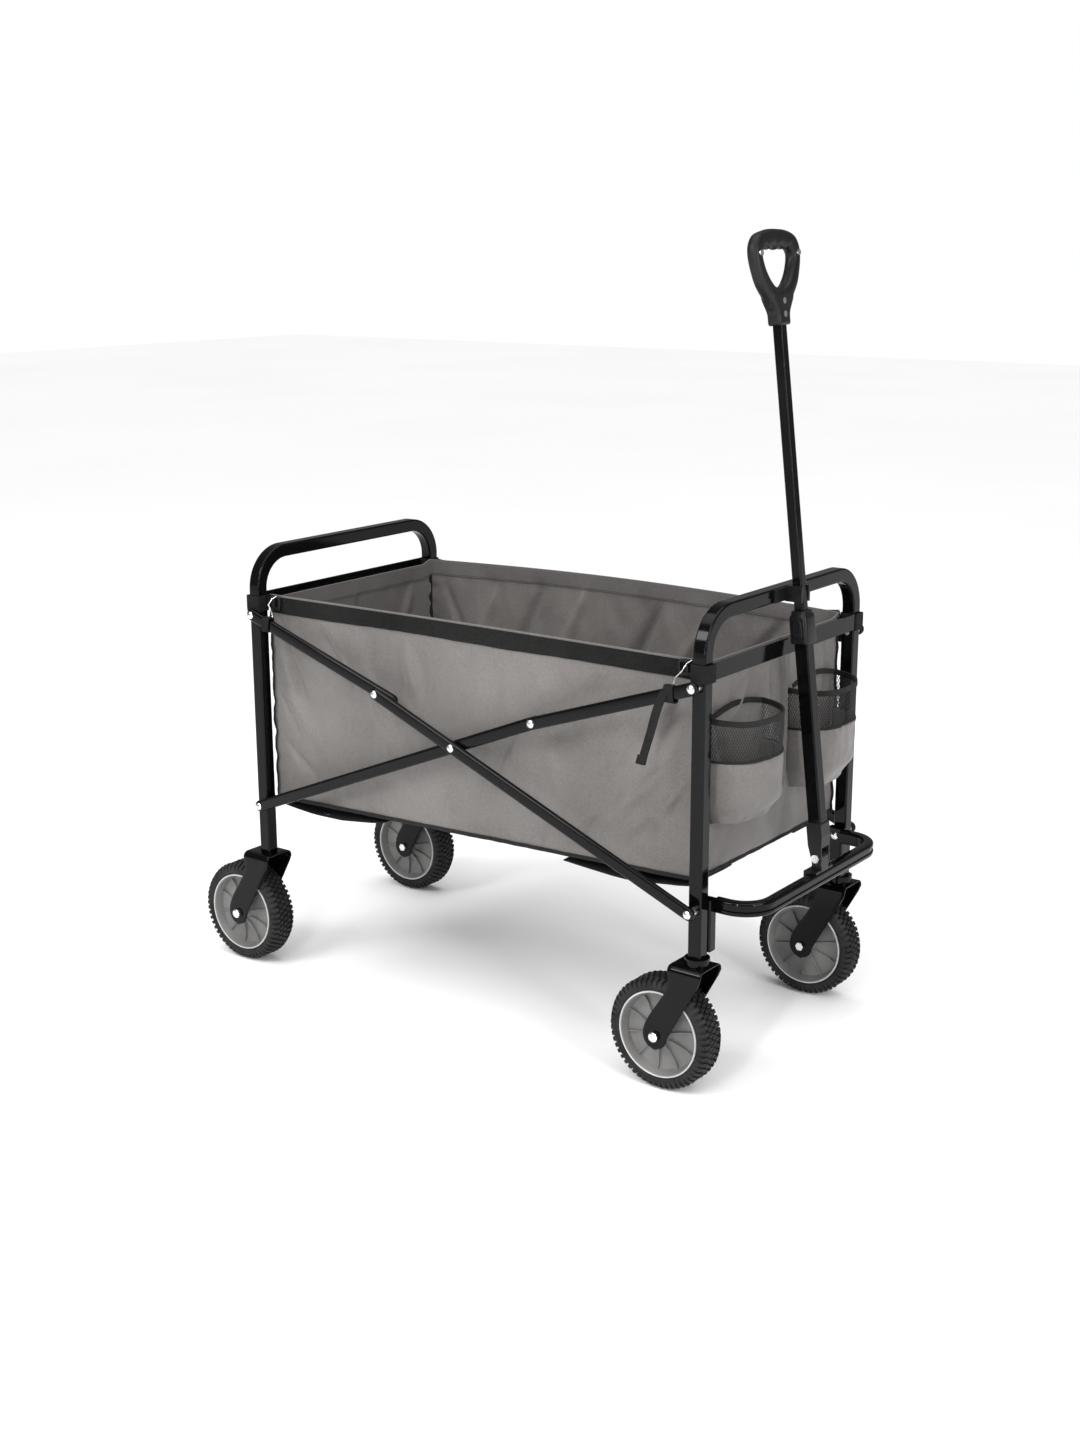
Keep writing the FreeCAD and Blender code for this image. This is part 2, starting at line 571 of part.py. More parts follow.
def wheel(word, x, side):
    """A tyre on a rim barrel, which a thin web joins to the hub."""
    place = (x - D["trail"], side * D["leg_side"], D["wheel_radius"])
    tyre = new_body(f"{word}_tyre")
    ring_section(tyre, f"{word}_tyre_section", [
        ("rim_radius", "0 - tyre_wide / 2 + 4"), ("rim_radius + 8", "0 - tyre_wide / 2"),
        ("wheel_radius - 7", "0 - tyre_wide / 2"), ("wheel_radius", "0 - tyre_wide / 2 + 9"),
        ("wheel_radius", "tyre_wide / 2 - 9"), ("wheel_radius - 7", "tyre_wide / 2"),
        ("rim_radius + 8", "tyre_wide / 2"), ("rim_radius", "tyre_wide / 2 - 4")])
    at(tyre, *place)
    rim = new_body(f"{word}_rim")
    ring_section(rim, f"{word}_rim_section", [
        ("barrel_bore", "3 - tyre_wide / 2"), ("rim_radius", "3 - tyre_wide / 2"),
        ("rim_radius", "tyre_wide / 2 - 3"), ("barrel_bore", "tyre_wide / 2 - 3")])
    at(rim, *place)
    web = new_body(f"{word}_web")
    ring_section(web, f"{word}_web_section", [
        ("pin_radius + pin_play", "1 - fork_gap / 2"), ("hub_radius", "1 - fork_gap / 2"),
        ("hub_radius + 3", "0 - web_root / 2"), ("barrel_bore", "0 - web_edge / 2"),
        ("barrel_bore", "web_edge / 2"), ("hub_radius + 3", "web_root / 2"),
        ("hub_radius", "fork_gap / 2 - 1"), ("pin_radius + pin_play", "fork_gap / 2 - 1")])
    at(web, *place)


for word, side in SIDES:
    wheel(f"rear_{word}", REAR, side)
    wheel(f"front_{word}", FRONT, side)

# leg brackets and bumper
brackets = []
for word, side in SIDES:
    body = doc.addObject("PartDesign::Body", f"{word}_leg_bracket_body")
    channel = sketch_on(body, "XY_Plane", f"{word}_leg_bracket_ring", "bracket_low")
    draw_rounded(channel, "outer", ("0", "0"), ("bracket_long", "bracket_deep"), "3")
    draw_rounded(channel, "inner", ("0", "0"), ("bracket_long - 4", "bracket_deep - 4"), "1")
    pad(body, channel, "bracket_top - bracket_low")
    hole = sketch_on(body, "XZ_Plane", f"{word}_leg_bracket_hole")
    draw_circle(hole, "pin", ("0", "low_pivot"), "pin_radius")
    pocket(body, hole, "2 * bracket_deep", middle=True)
    at(body, FRONT, side * (LEG_IN - D["bracket_deep"] / 2), 0)
    brackets.append(body)
group("leg_brackets", brackets)

BUMPER_BACK = f"{FRONT} + bracket_long / 2"
bumper = new_body("bumper")
path = sketch_on(bumper, "XY_Plane", "bumper_path", "bumper_low + bumper_high / 2")
path.AttachmentOffset = Placement(Vector(), Rotation(Vector(0, 0, 1), -90))
path.setExpression(".AttachmentOffset.Base.z", rule("bumper_low + bumper_high / 2"))
draw_bend(path, "bumper_side", BUMPER_BACK, f"{MIDDLE} + bumper_front - bumper_deep / 2",
          "bumper_bend")
section = sketch_on(bumper, "YZ_Plane", "bumper_section", BUMPER_BACK)
OUT, IN = "0 - bumper_side - bumper_deep / 2", "0 - bumper_side + bumper_deep / 2"
LOW, HIGH = "bumper_low", "bumper_low + bumper_high"
GROOVE_LOW = "bumper_low + bumper_high / 2 - groove_high / 2"
GROOVE_HIGH = "bumper_low + bumper_high / 2 + groove_high / 2"
draw_outline(section, [
    (f"{OUT} + 2", LOW), (f"{IN} - 2", LOW), (IN, f"{LOW} + 2"), (IN, f"{HIGH} - 2"),
    (f"{IN} - 2", HIGH), (f"{OUT} + 2", HIGH), (OUT, f"{HIGH} - 2"), (OUT, GROOVE_HIGH),
    (f"{OUT} + groove_deep", GROOVE_HIGH), (f"{OUT} + groove_deep", GROOVE_LOW),
    (OUT, GROOVE_LOW), (OUT, f"{LOW} + 2")])
draw_rectangle(section, "bore", (f"{OUT} + groove_deep + tube_wall", f"{LOW} + tube_wall"),
               (f"{IN} - tube_wall", f"{HIGH} - tube_wall"))
pipe(bumper, section, path)

# handle bracket: a saddle over the bumper's inner and upper faces with an upright tongue
PIVOT_X = MIDDLE + D["handle_pivot"]
TONGUE = 10.8
BUMPER_IN = f"{MIDDLE} + bumper_front - bumper_deep - 0.2"
TONGUE_ROUND = 8.5
SADDLE_WIDE, SADDLE_THICK, SADDLE_BACK, SADDLE_PLAY = 52, 3.4, 5, 0.2
TONGUE_LOW = f"bumper_low + bumper_high + {SADDLE_PLAY}"
tongue_base = box("tongue_base",
                  (2 * TONGUE_ROUND, 2 * TONGUE, f"handle_low - ({TONGUE_LOW})"),
                  (PIVOT_X - TONGUE_ROUND, -TONGUE, TONGUE_LOW))
tongue_top = rod("tongue_top", TONGUE_ROUND, 2 * TONGUE, (PIVOT_X, TONGUE, "handle_low"), TURN_TO_Y)
saddle_top = box("saddle_top", (f"bumper_deep + {SADDLE_BACK} - 1", SADDLE_WIDE, SADDLE_THICK),
                 (f"{BUMPER_IN} - {SADDLE_BACK}", -SADDLE_WIDE / 2, TONGUE_LOW))
saddle_back = box("saddle_back", (SADDLE_BACK, SADDLE_WIDE, "bumper_high + 3"),
                  (f"{BUMPER_IN} - {SADDLE_BACK}", -SADDLE_WIDE / 2, "bumper_low"))
blank = fuse("handle_bracket_blank", [tongue_base, tongue_top, saddle_top, saddle_back])
name_part(cut("handle_bracket_drilled", blank,
              rod("tongue_bore", "pin_radius", 60, (PIVOT_X, 30, "handle_low"), TURN_TO_Y)),
          "handle_bracket")

HANDLE = Placement(Vector(PIVOT_X, 0, D["handle_low"]), Rotation(Vector(0, 1, 0), -D["handle_lean"]))
YOKE_IN, YOKE_OUT = TONGUE + 0.3, 13.6
YOKE_HALF = 12.6


def on_handle(body):
    body.Placement = HANDLE
    return body


# pin of the handle's hinge, held by the bracket and turning in the yoke
pin = rod("handle_pin_shank", "pin_radius", 2 * (YOKE_OUT + 0.3),
          (PIVOT_X, YOKE_OUT + 0.3, "handle_low"), TURN_TO_Y)
pin_pieces = [pin]
for n, face in enumerate((YOKE_OUT + 4.3, -YOKE_OUT - 0.3)):
    pin_pieces.append(rod(f"handle_pin_head{n}", "head_radius", 4, (PIVOT_X, face, "handle_low"),
                          TURN_TO_Y))
name_part(fuse("handle_pin_bolt", pin_pieces), "handle_pin")

yoke = new_body("handle_yoke")
cheek = sketch_on(yoke, "XZ_Plane", "yoke_cheek")
draw_outline(cheek, [(-7, -12), (7, -12), (8.5, -6), (9, 8), (YOKE_HALF, 34), (YOKE_HALF, 53),
                     (YOKE_HALF - 2, 56), (2 - YOKE_HALF, 56), (-YOKE_HALF, 53), (-YOKE_HALF, 20),
                     (-9, 0), (-8.5, -6)])
pad(yoke, cheek, 2 * YOKE_OUT, middle=True)
throat = sketch_on(yoke, "XZ_Plane", "yoke_throat")
draw_rectangle(throat, "throat", (-30, -30), (30, 16))
pocket(yoke, throat, 2 * YOKE_IN, middle=True)
seat = sketch_on(yoke, "XY_Plane", "yoke_seat", "24")
draw_rounded(seat, "seat", ("0", "0"), ("tube + 0.1", "tube + 0.1"), "tube_round * 0.8")
pocket(yoke, seat, 60, back=True)
eye = sketch_on(yoke, "XZ_Plane", "yoke_eye")
draw_circle(eye, "eye", ("0", "0"), "pin_radius + pin_play")
pocket(yoke, eye, 60, middle=True)
on_handle(yoke)


def square_tube(label, side, wall, low, high):
    body = new_body(label)
    ring = sketch_on(body, "XY_Plane", label + "_ring", low)
    draw_rounded(ring, "outer", ("0", "0"), (side, side), "tube_round * 0.8")
    bore = f"{side} - 2 * {wall}"
    draw_rounded(ring, "inner", ("0", "0"), (bore, bore), "tube_round * 0.8 - tube_wall")
    pad(body, ring, f"{high} - ({low})")
    return on_handle(body)


OUTER_BORE = "inner_tube + 2 * slide_play"
square_tube("handle_tube_outer", "tube", "tube_wall", "24.2", "sleeve_low + sleeve_long - 8")
square_tube("handle_tube_inner", "inner_tube", "tube_wall", "inner_low", "grip_low + 45")

# sleeve: its collar closes on the inner tube and its skirt on the outer one
sleeve = new_body("handle_sleeve")
collar = sketch_on(sleeve, "XY_Plane", "sleeve_ring", "sleeve_low")
draw_rounded(collar, "outer", ("0", "0"), ("sleeve_deep", "sleeve_wide"), "4")
draw_rounded(collar, "inner", ("0", "0"), (OUTER_BORE, OUTER_BORE), "2.4")
pad(sleeve, collar, "sleeve_long")
skirt = sketch_on(sleeve, "XY_Plane", "sleeve_skirt", "sleeve_low")
draw_rounded(skirt, "skirt", ("0", "0"), ("tube + 0.1", "tube + 0.1"), "2.4")
pocket(sleeve, skirt, "sleeve_long - 7.9", back=True)
BUTTON_UP = "sleeve_low + sleeve_long * 0.46"
opening = sketch_on(sleeve, "XZ_Plane", "sleeve_button_hole")
draw_rounded(opening, "window", ("0 - 1", BUTTON_UP), (13.6, 26.6), "6.5")
pocket(sleeve, opening, "sleeve_wide", back=True)
on_handle(sleeve)

button = new_body("release_button")
face = sketch_on(button, "XZ_Plane", "button_face", "tube / 2 + 2.4")
draw_rounded(face, "button", ("0 - 1", BUTTON_UP), (13, 26), "6.2")
pad(button, face, "sleeve_wide / 2 - tube / 2 - 1")
on_handle(button)

SPRING_STRIP, SPRING_WIDE, SPRING_LONG = 0.6, 5, 20
SPRING_FOOT, SPRING_REACH = 1.2, 1.6
SPRING_LOW = f"{BUTTON_UP} - {SPRING_LONG / 2}"
SPRING_FACE = f"0 - tube / 2 - {SPRING_STRIP}"
spring_pieces = [box("spring_back", (SPRING_WIDE, SPRING_STRIP, SPRING_LONG),
                     ("0 - 3.5", SPRING_FACE, SPRING_LOW))]
for n, lift in enumerate((0, SPRING_LONG - SPRING_FOOT)):
    spring_pieces.append(box(f"spring_end{n}", (SPRING_WIDE, SPRING_REACH, SPRING_FOOT),
                             ("0 - 3.5", f"{SPRING_FACE} - {SPRING_REACH}", f"{SPRING_LOW} + {lift}")))
spring = fuse("button_spring_strip", spring_pieces)
on_handle(name_part(spring, "button_spring"))

# clip on the front hoop that holds the stowed handle's inner tube
HOOP_FACE = f"{FRONT} + tube / 2"
CLIP_LOW = "hoop_top - tube - 1"
CLIP_HIGH, CLIP_WIDE, CLIP_BASE = 24, 26, 7.2
JAW_IN = D["inner_tube"] / 2 + 0.5
JAW_THICK, JAW_LONG = 4.5, 28
PLATE_THICK, PLATE_WIDE = 3, 96
clip_pieces = [
    box("clip_plate", (PLATE_THICK, PLATE_WIDE, "tube - 2"),
        (HOOP_FACE, -PLATE_WIDE / 2, "hoop_top - tube + 1")),
    box("clip_base", (CLIP_BASE, CLIP_WIDE, CLIP_HIGH), (HOOP_FACE, -CLIP_WIDE / 2, CLIP_LOW)),
    box("clip_right_jaw", (JAW_LONG, JAW_THICK, CLIP_HIGH), (HOOP_FACE, -JAW_IN - JAW_THICK, CLIP_LOW)),
    box("clip_left_jaw", (JAW_LONG, JAW_THICK, CLIP_HIGH), (HOOP_FACE, JAW_IN, CLIP_LOW)),
]
name_part(fuse("handle_clip_moulding", clip_pieces), "handle_clip")


def smooth(points, closed=False):
    curve = Part.BSplineCurve()
    curve.interpolate([Vector(0, y, z) for y, z in points], PeriodicFlag=closed)
    return curve.toShape()


def mirrored(half):
    """Both halves of a symmetric outline, from its right half listed upwards."""
    return half + [(-y, z) for y, z in reversed(half)]


# D grip: two moulded halves, front and rear, closed over the inner tube's end by four screws
GRIP_HALF = [(17, 0), (19, 14), (30, 33), (50, 55), (62, 82), (65, 104), (59, 122), (44, 132)]
HOLE_HALF = [(15, 57), (33, 73), (44, 92), (43, 103), (25, 106)]
low = D["grip_low"]
outer = smooth([(y, z + low) for y, z in mirrored(GRIP_HALF)])
neck = Part.LineSegment(Vector(0, -GRIP_HALF[0][0], low), Vector(0, GRIP_HALF[0][0], low))
grip_face = Part.Face(Part.Wire([outer, neck.toShape()]))
hole_face = Part.Face(Part.Wire([smooth([(y, z + low) for y, z in mirrored(HOLE_HALF)], True)]))
grip_face = grip_face.cut(hole_face)
SCREW_HOLES = [(0, 15), (0, 34), (-54, 102), (54, 102)]
SCREW_RADIUS, SCREW_HEAD, SCREW_HEAD_DEEP, SCREW_BACK = 2, 4.5, 2.5, 8
half_thick = D["grip_thick"] / 2
screws = []
for y, z in SCREW_HOLES:
    start = Vector(-SCREW_BACK, y, z + low)
    shank = Part.makeCylinder(SCREW_RADIUS, SCREW_BACK + half_thick, start, Vector(1, 0, 0))
    head_at = Vector(half_thick - SCREW_HEAD_DEEP, y, z + low)
    head = Part.makeCylinder(SCREW_HEAD, SCREW_HEAD_DEEP, head_at, Vector(1, 0, 0))
    screws.append(shank.fuse(head).removeSplitter())
socket_half = D["inner_tube"] / 2 + 0.05
socket = Part.makeBox(2 * socket_half, 2 * socket_half, 45.5 + 10,
                      Vector(-socket_half, -socket_half, low - 10))


def fixed_shape(label, shape, placement):
    thing = doc.addObject("Part::Feature", label + "_solid")
    thing.Shape = shape
    thing.Placement = placement
    return name_part(thing, label)


for label, way in (("grip_front_half", 1), ("grip_rear_half", -1)):
    half = grip_face.extrude(Vector(way * half_thick, 0, 0))
    fixed_shape(label, half.cut(socket).cut(Part.makeCompound(screws)), HANDLE)
fixed_shape("grip_screws", Part.makeCompound(screws), HANDLE)

tube_holes = sketch_on(PARTS["handle_tube_inner"], "YZ_Plane", "inner_tube_holes")
for n, (y, z) in enumerate(SCREW_HOLES[:2]):
    draw_circle(tube_holes, f"screw{n}", (y, f"grip_low + {z}"), SCREW_RADIUS)
pocket(PARTS["handle_tube_inner"], tube_holes, 40, middle=True)

# fabric basket: end walls on their frames, and the side walls and floor between them
SIDE_OUT = LEG_IN - D["cloth_gap"]
SIDE_IN = SIDE_OUT - D["cloth"]
END_OUT = D["half_length"] - D["tube"] / 2 - D["cloth_gap"]
END_IN = END_OUT - D["cloth"]
WALL_HIGH = "cloth_top - cloth_low"
ACROSS = 2 * (SIDE_IN - D["cloth_gap"])
for label, x in (("basket_rear_wall", MIDDLE - END_OUT), ("basket_front_wall", MIDDLE + END_IN)):
    name_part(box(label + "_panel", ("cloth", ACROSS, WALL_HIGH), (x, -ACROSS / 2, "cloth_low")), label)
for word, side in SIDES:
    y = -SIDE_OUT if side < 0 else SIDE_IN
    panel = box(f"basket_{word}_panel", (2 * END_OUT, "cloth", WALL_HIGH), (MIDDLE - END_OUT, y, "cloth_low"))
    name_part(panel, f"basket_{word}_wall")
ALONG = 2 * (END_IN - D["cloth_gap"])
name_part(box("basket_floor_panel", (ALONG, ACROSS, "cloth"), (MIDDLE - ALONG / 2, -ACROSS / 2, "cloth_low")),
          "basket_floor")


def half_oval(half, deep, low, high):
    """An upright half-oval block standing forward from the front wall."""
    arc = Part.Ellipse(Vector(0, half, 0), Vector(deep, 0, 0), Vector(0, 0, 0))
    bow = Part.Arc(arc, 0, math.pi).toShape()
    ends = [v.Point for v in bow.Vertexes]
    face = Part.Face(Part.Wire([bow, Part.LineSegment(ends[1], ends[0]).toShape()]))
    block = face.extrude(Vector(0, 0, high - low))
    block.translate(Vector(0, 0, low))
    return block


for word, side in SIDES:
    shell = half_oval(D["pocket_half"], D["pocket_deep"], D["pocket_low"], D["pocket_top"])
    room = half_oval(D["pocket_half"] - D["cloth"], D["pocket_deep"] - D["cloth"],
                     D["pocket_low"] + D["cloth"], D["pocket_top"] + 1)
    place = Placement(Vector(MIDDLE + END_OUT + 0.1, side * D["pocket_side"], 0), Rotation())
    fixed_shape(f"{word}_cup_pocket", shell.cut(room), place)

doc.recompute()
for thing in doc.Objects:
    if "Invalid" in thing.State or "Error" in thing.State:
        raise RuntimeError(f"{thing.Label} failed: {thing.State}")
for label, thing in PARTS.items():
    if thing.Shape.isNull() or not thing.Shape.isValid():
        raise RuntimeError(f"{label} has no valid shape")
os.makedirs("parts", exist_ok=True)
for label, thing in PARTS.items():
    thing.Shape.exportStep(f"parts/{label}.step")
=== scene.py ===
import json
from math import atan2, copysign, cos, degrees, exp, hypot, pi, radians, sin, sqrt, tan

import bmesh
import bpy
from mathutils import Matrix, Vector, noise


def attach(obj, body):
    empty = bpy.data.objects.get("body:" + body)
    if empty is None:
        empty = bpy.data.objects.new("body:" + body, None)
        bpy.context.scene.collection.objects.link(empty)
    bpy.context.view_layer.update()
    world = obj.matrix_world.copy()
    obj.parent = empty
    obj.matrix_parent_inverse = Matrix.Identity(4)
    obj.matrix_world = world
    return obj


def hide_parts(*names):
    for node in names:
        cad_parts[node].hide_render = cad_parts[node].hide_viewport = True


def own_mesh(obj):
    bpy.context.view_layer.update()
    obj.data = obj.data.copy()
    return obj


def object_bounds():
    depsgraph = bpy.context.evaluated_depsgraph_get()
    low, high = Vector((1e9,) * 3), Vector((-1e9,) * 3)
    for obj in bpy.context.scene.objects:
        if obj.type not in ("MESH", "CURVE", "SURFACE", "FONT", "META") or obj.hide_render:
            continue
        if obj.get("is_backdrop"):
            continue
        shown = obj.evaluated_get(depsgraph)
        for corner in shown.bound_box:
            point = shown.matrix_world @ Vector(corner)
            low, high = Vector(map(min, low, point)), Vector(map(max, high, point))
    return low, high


# The looks of a folding four-wheel wagon, in metres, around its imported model.

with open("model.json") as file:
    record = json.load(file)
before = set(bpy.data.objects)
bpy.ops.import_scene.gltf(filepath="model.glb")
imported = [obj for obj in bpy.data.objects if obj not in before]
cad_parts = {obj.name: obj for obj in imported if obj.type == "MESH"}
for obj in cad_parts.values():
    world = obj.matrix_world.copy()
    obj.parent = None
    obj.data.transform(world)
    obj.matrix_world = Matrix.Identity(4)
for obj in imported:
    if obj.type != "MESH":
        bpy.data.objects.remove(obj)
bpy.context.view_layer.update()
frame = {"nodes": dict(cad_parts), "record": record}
NODES = frame["nodes"]

# ---------------------------------------------------------------- the model's own sizes
MIDDLE = 0.0276
HALF = 0.441
REAR = MIDDLE - HALF
FRONT = MIDDLE + HALF
LEG_Y = 0.225
TUBE = 0.022
LEG_IN = LEG_Y - TUBE / 2
LOW_PIVOT = 0.2947
PIVOT_GAP = 0.338
CROSS_RISE = 0.1795
ARM_PAST = 0.170
LINK_PAST = 0.028
LINK_HIGH = 0.020
LINK_DEEP = 0.010
LAYERS = (0.2416, 0.2520)
WHEEL_RADIUS = 0.089
RIM_RADIUS = 0.069
TYRE_WIDE = 0.050
TRAIL = 0.0542
SIDES = (("right", -1), ("left", 1))

WALL_REAR = MIDDLE - HALF + TUBE / 2 + 0.0016
WALL_FRONT = MIDDLE + HALF - TUBE / 2 - 0.0016
WALL_SIDE = LEG_IN - 0.0016


# ---------------------------------------------------------------- materials
def node_tree(name):
    made = bpy.data.materials.new(name)
    made.use_nodes = True
    tree = made.node_tree
    shader = tree.nodes["Principled BSDF"]
    return made, tree, shader


def add(tree, kind, **inputs):
    node = tree.nodes.new(kind)
    for key, value in inputs.items():
        node.inputs[key.replace("_", " ")].default_value = value
    return node


def noise_of(tree, scale, detail=3.0, stretch=(1, 1, 1)):
    """Noise in the row frame's own metres."""
    place = tree.nodes.new("ShaderNodeTexCoord")
    mapping = tree.nodes.new("ShaderNodeMapping")
    mapping.inputs["Scale"].default_value = stretch
    tree.links.new(place.outputs["Object"], mapping.inputs["Vector"])
    grain = add(tree, "ShaderNodeTexNoise", Scale=scale, Detail=detail)
    tree.links.new(mapping.outputs["Vector"], grain.inputs["Vector"])
    return grain.outputs["Fac"]


def spread(tree, value, low, high, start=0.3, end=0.7):
    node = tree.nodes.new("ShaderNodeMapRange")
    node.inputs["From Min"].default_value = start
    node.inputs["From Max"].default_value = end
    node.inputs["To Min"].default_value = low
    node.inputs["To Max"].default_value = high
    tree.links.new(value, node.inputs["Value"])
    return node.outputs["Result"]


def two_tone(tree, value, dark, light, start=0.35, end=0.65):
    ramp = tree.nodes.new("ShaderNodeValToRGB")
    ramp.color_ramp.elements[0].position = start
    ramp.color_ramp.elements[1].position = end
    ramp.color_ramp.elements[0].color = (*dark, 1)
    ramp.color_ramp.elements[1].color = (*light, 1)
    tree.links.new(value, ramp.inputs["Fac"])
    return ramp.outputs["Color"]


def bump(tree, shader, height, strength, distance, before=None):
    node = add(tree, "ShaderNodeBump", Strength=strength, Distance=distance)
    tree.links.new(height, node.inputs["Height"])
    if before is not None:
        tree.links.new(before, node.inputs["Normal"])
    tree.links.new(node.outputs["Normal"], shader.inputs["Normal"])
    return node.outputs["Normal"]


def finish_material(name, dark, light, rough, grain, depth, colour_scale=9.0, metallic=0.0, coat=0.0,
                    specular=0.5, detail=3.0):
    """A surface with slow colour change, uneven gloss and a fine grain."""
    made, tree, shader = node_tree(name)
    tree.links.new(two_tone(tree, noise_of(tree, colour_scale, detail), dark, light),
                   shader.inputs["Base Color"])
    tree.links.new(spread(tree, noise_of(tree, colour_scale * 3), *rough), shader.inputs["Roughness"])
    shader.inputs["Metallic"].default_value = metallic
    shader.inputs["Coat Weight"].default_value = coat
    shader.inputs["Coat Roughness"].default_value = 0.08
    shader.inputs["Specular IOR Level"].default_value = specular
    bump(tree, shader, noise_of(tree, grain, 2.0), depth, 0.0004)
    return made


def maths(tree, kind, *values):
    """A maths node on sockets or plain numbers."""
    node = tree.nodes.new("ShaderNodeMath")
    node.operation = kind
    for socket, value in zip(node.inputs, values):
        if isinstance(value, (int, float)):
            socket.default_value = value
        else:
            tree.links.new(value, socket)
    return node.outputs[0]


def woven(name, dark, light, pitch, depth, sheen=0.15, rough=(0.72, 0.9), twill=False, specular=0.35):
    """Cloth: two crossing sets of threads over a slow change of colour; where dark and light lie far apart,
    that change is painted sheen and painted fold shade.
    """
    made, tree, shader = node_tree(name)
    place = tree.nodes.new("ShaderNodeTexCoord")
    split = tree.nodes.new("ShaderNodeSeparateXYZ")
    tree.links.new(place.outputs["Object"], split.inputs["Vector"])
    along = maths(tree, "ADD", split.outputs["X"], split.outputs["Y"])
    threads = []
    for source in (along, split.outputs["Z"]):
        turn = maths(tree, "MULTIPLY", source, 2 * pi / pitch)
        threads.append(maths(tree, "SINE", turn))
    cross = maths(tree, "ADD" if twill else "MULTIPLY", *threads)
    shade = tree.nodes.new("ShaderNodeMix")
    shade.data_type = "RGBA"
    # the slow change of colour: random tone, and for the grey cloth also painted light and dark patches
    # standing in for its satin sheen and the shade of its folds
    soft = two_tone(tree, noise_of(tree, 5.5, 4.0), dark, light, 0.3, 0.7)
    fine = two_tone(tree, noise_of(tree, 420, 2.0), [c * 0.82 for c in dark], [c * 1.12 for c in light])
    shade.inputs["Factor"].default_value = 0.3
    tree.links.new(soft, shade.inputs["A"])
    tree.links.new(fine, shade.inputs["B"])
    tree.links.new(shade.outputs["Result"], shader.inputs["Base Color"])
    tree.links.new(spread(tree, noise_of(tree, 30), *rough), shader.inputs["Roughness"])
    shader.inputs["Sheen Weight"].default_value = sheen
    shader.inputs["Sheen Roughness"].default_value = 0.5
    shader.inputs["Specular IOR Level"].default_value = specular
    first = bump(tree, shader, cross, depth, 0.0003)
    bump(tree, shader, noise_of(tree, 60, 3.0), 0.12, 0.002, first)
    return made


PAINT = finish_material("black_paint", (0.0012, 0.0012, 0.0013), (0.0024, 0.0024, 0.0026), (0.06, 0.12),
                        700, 0.04, specular=0.15)
SATIN = finish_material("satin_black_plastic", (0.004, 0.004, 0.0045), (0.009, 0.009, 0.0095), (0.26, 0.40),
                        900, 0.25, specular=0.22)
GRIP = finish_material("grip_plastic", (0.004, 0.004, 0.0045), (0.008, 0.008, 0.0085), (0.34, 0.48),
                       1100, 0.35, specular=0.22)
RUBBER = finish_material("tyre_rubber", (0.008, 0.008, 0.008), (0.018, 0.0175, 0.017), (0.55, 0.78),
                         500, 0.4, colour_scale=26, specular=0.25)
RIM_GREY = finish_material("rim_plastic", (0.12, 0.118, 0.116), (0.165, 0.162, 0.158), (0.4, 0.55),
                           900, 0.2, colour_scale=14)
# the light grey of the rim's lip is a painted highlight, where its edge would catch the light
RIM_LIP_HIGHLIGHT = finish_material("rim_lip_painted_highlight", (0.40, 0.40, 0.40), (0.52, 0.52, 0.52), (0.3, 0.45),
                           900, 0.15, colour_scale=20)
ZINC = finish_material("zinc_plate", (0.62, 0.63, 0.65), (0.80, 0.81, 0.82), (0.16, 0.34), 400, 0.15,
                       colour_scale=60, metallic=1.0)
STEEL = finish_material("spring_steel", (0.35, 0.35, 0.36), (0.5, 0.5, 0.51), (0.25, 0.4), 400, 0.15,
                        colour_scale=60, metallic=1.0)
# the grey cloth's wide dark-to-light range paints broad light and dark patches over its real tone: painted
# satin sheen and painted fold shade
CLOTH = woven("grey_cloth", (0.088, 0.081, 0.077), (0.158, 0.147, 0.141), 0.0011, 0.35, rough=(0.36, 0.50))
CLOTH_DARK = woven("grey_hem_cloth", (0.085, 0.079, 0.076), (0.118, 0.110, 0.106), 0.0011, 0.35,
                   rough=(0.5, 0.66))
WEBBING = woven("black_webbing", (0.003, 0.003, 0.003), (0.014, 0.0135, 0.013), 0.0024, 0.9, 0.0, twill=True,
                specular=0.15)
BINDING = woven("black_binding", (0.006, 0.006, 0.006), (0.016, 0.0155, 0.015), 0.0016, 0.6, 0.02,
                specular=0.18)
FLOOR_CLOTH = woven("black_floor_cloth", (0.008, 0.008, 0.008), (0.016, 0.0155, 0.015), 0.0011, 0.35, 0.02,
                    specular=0.2)
NET = woven("black_net_thread", (0.008, 0.008, 0.008), (0.02, 0.02, 0.02), 0.0008, 0.3, 0.05)
THREAD = woven("seam_thread", (0.05, 0.048, 0.046), (0.085, 0.08, 0.078), 0.0008, 0.3, 0.05)

BY_SLOT = {"frame_black": PAINT, "fabric_grey": CLOTH, "pocket_mesh": NET, "plastic_black": SATIN,
           "rim_grey": RIM_GREY, "tyre_black": RUBBER, "zinc": ZINC, "spring_steel": STEEL}


# ---------------------------------------------------------------- mesh helpers
def new_piece(name, points, faces, material, body, stands_for=(), slot=None, smooth=True, angle=35,
              materials=None, face_slots=None):
    mesh = bpy.data.meshes.new(name)
    mesh.from_pydata([tuple(p) for p in points], [], faces)
    for m in (materials or [material]):
        mesh.materials.append(m)
    if face_slots:
        mesh.polygons.foreach_set("material_index", face_slots)
    build = bmesh.new()
    build.from_mesh(mesh)
    bmesh.ops.remove_doubles(build, verts=build.verts, dist=1e-6)
    bmesh.ops.recalc_face_normals(build, faces=build.faces)
    for f in build.faces:
        f.smooth = smooth
    for e in build.edges:
        if len(e.link_faces) == 2 and e.calc_face_angle(0) > radians(angle):
            e.smooth = False
    build.to_mesh(mesh)
    build.free()
    made = bpy.data.objects.new(name, mesh)
    bpy.context.scene.collection.objects.link(made)
    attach(made, body)
    if stands_for:
        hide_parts(*stands_for)
    return made


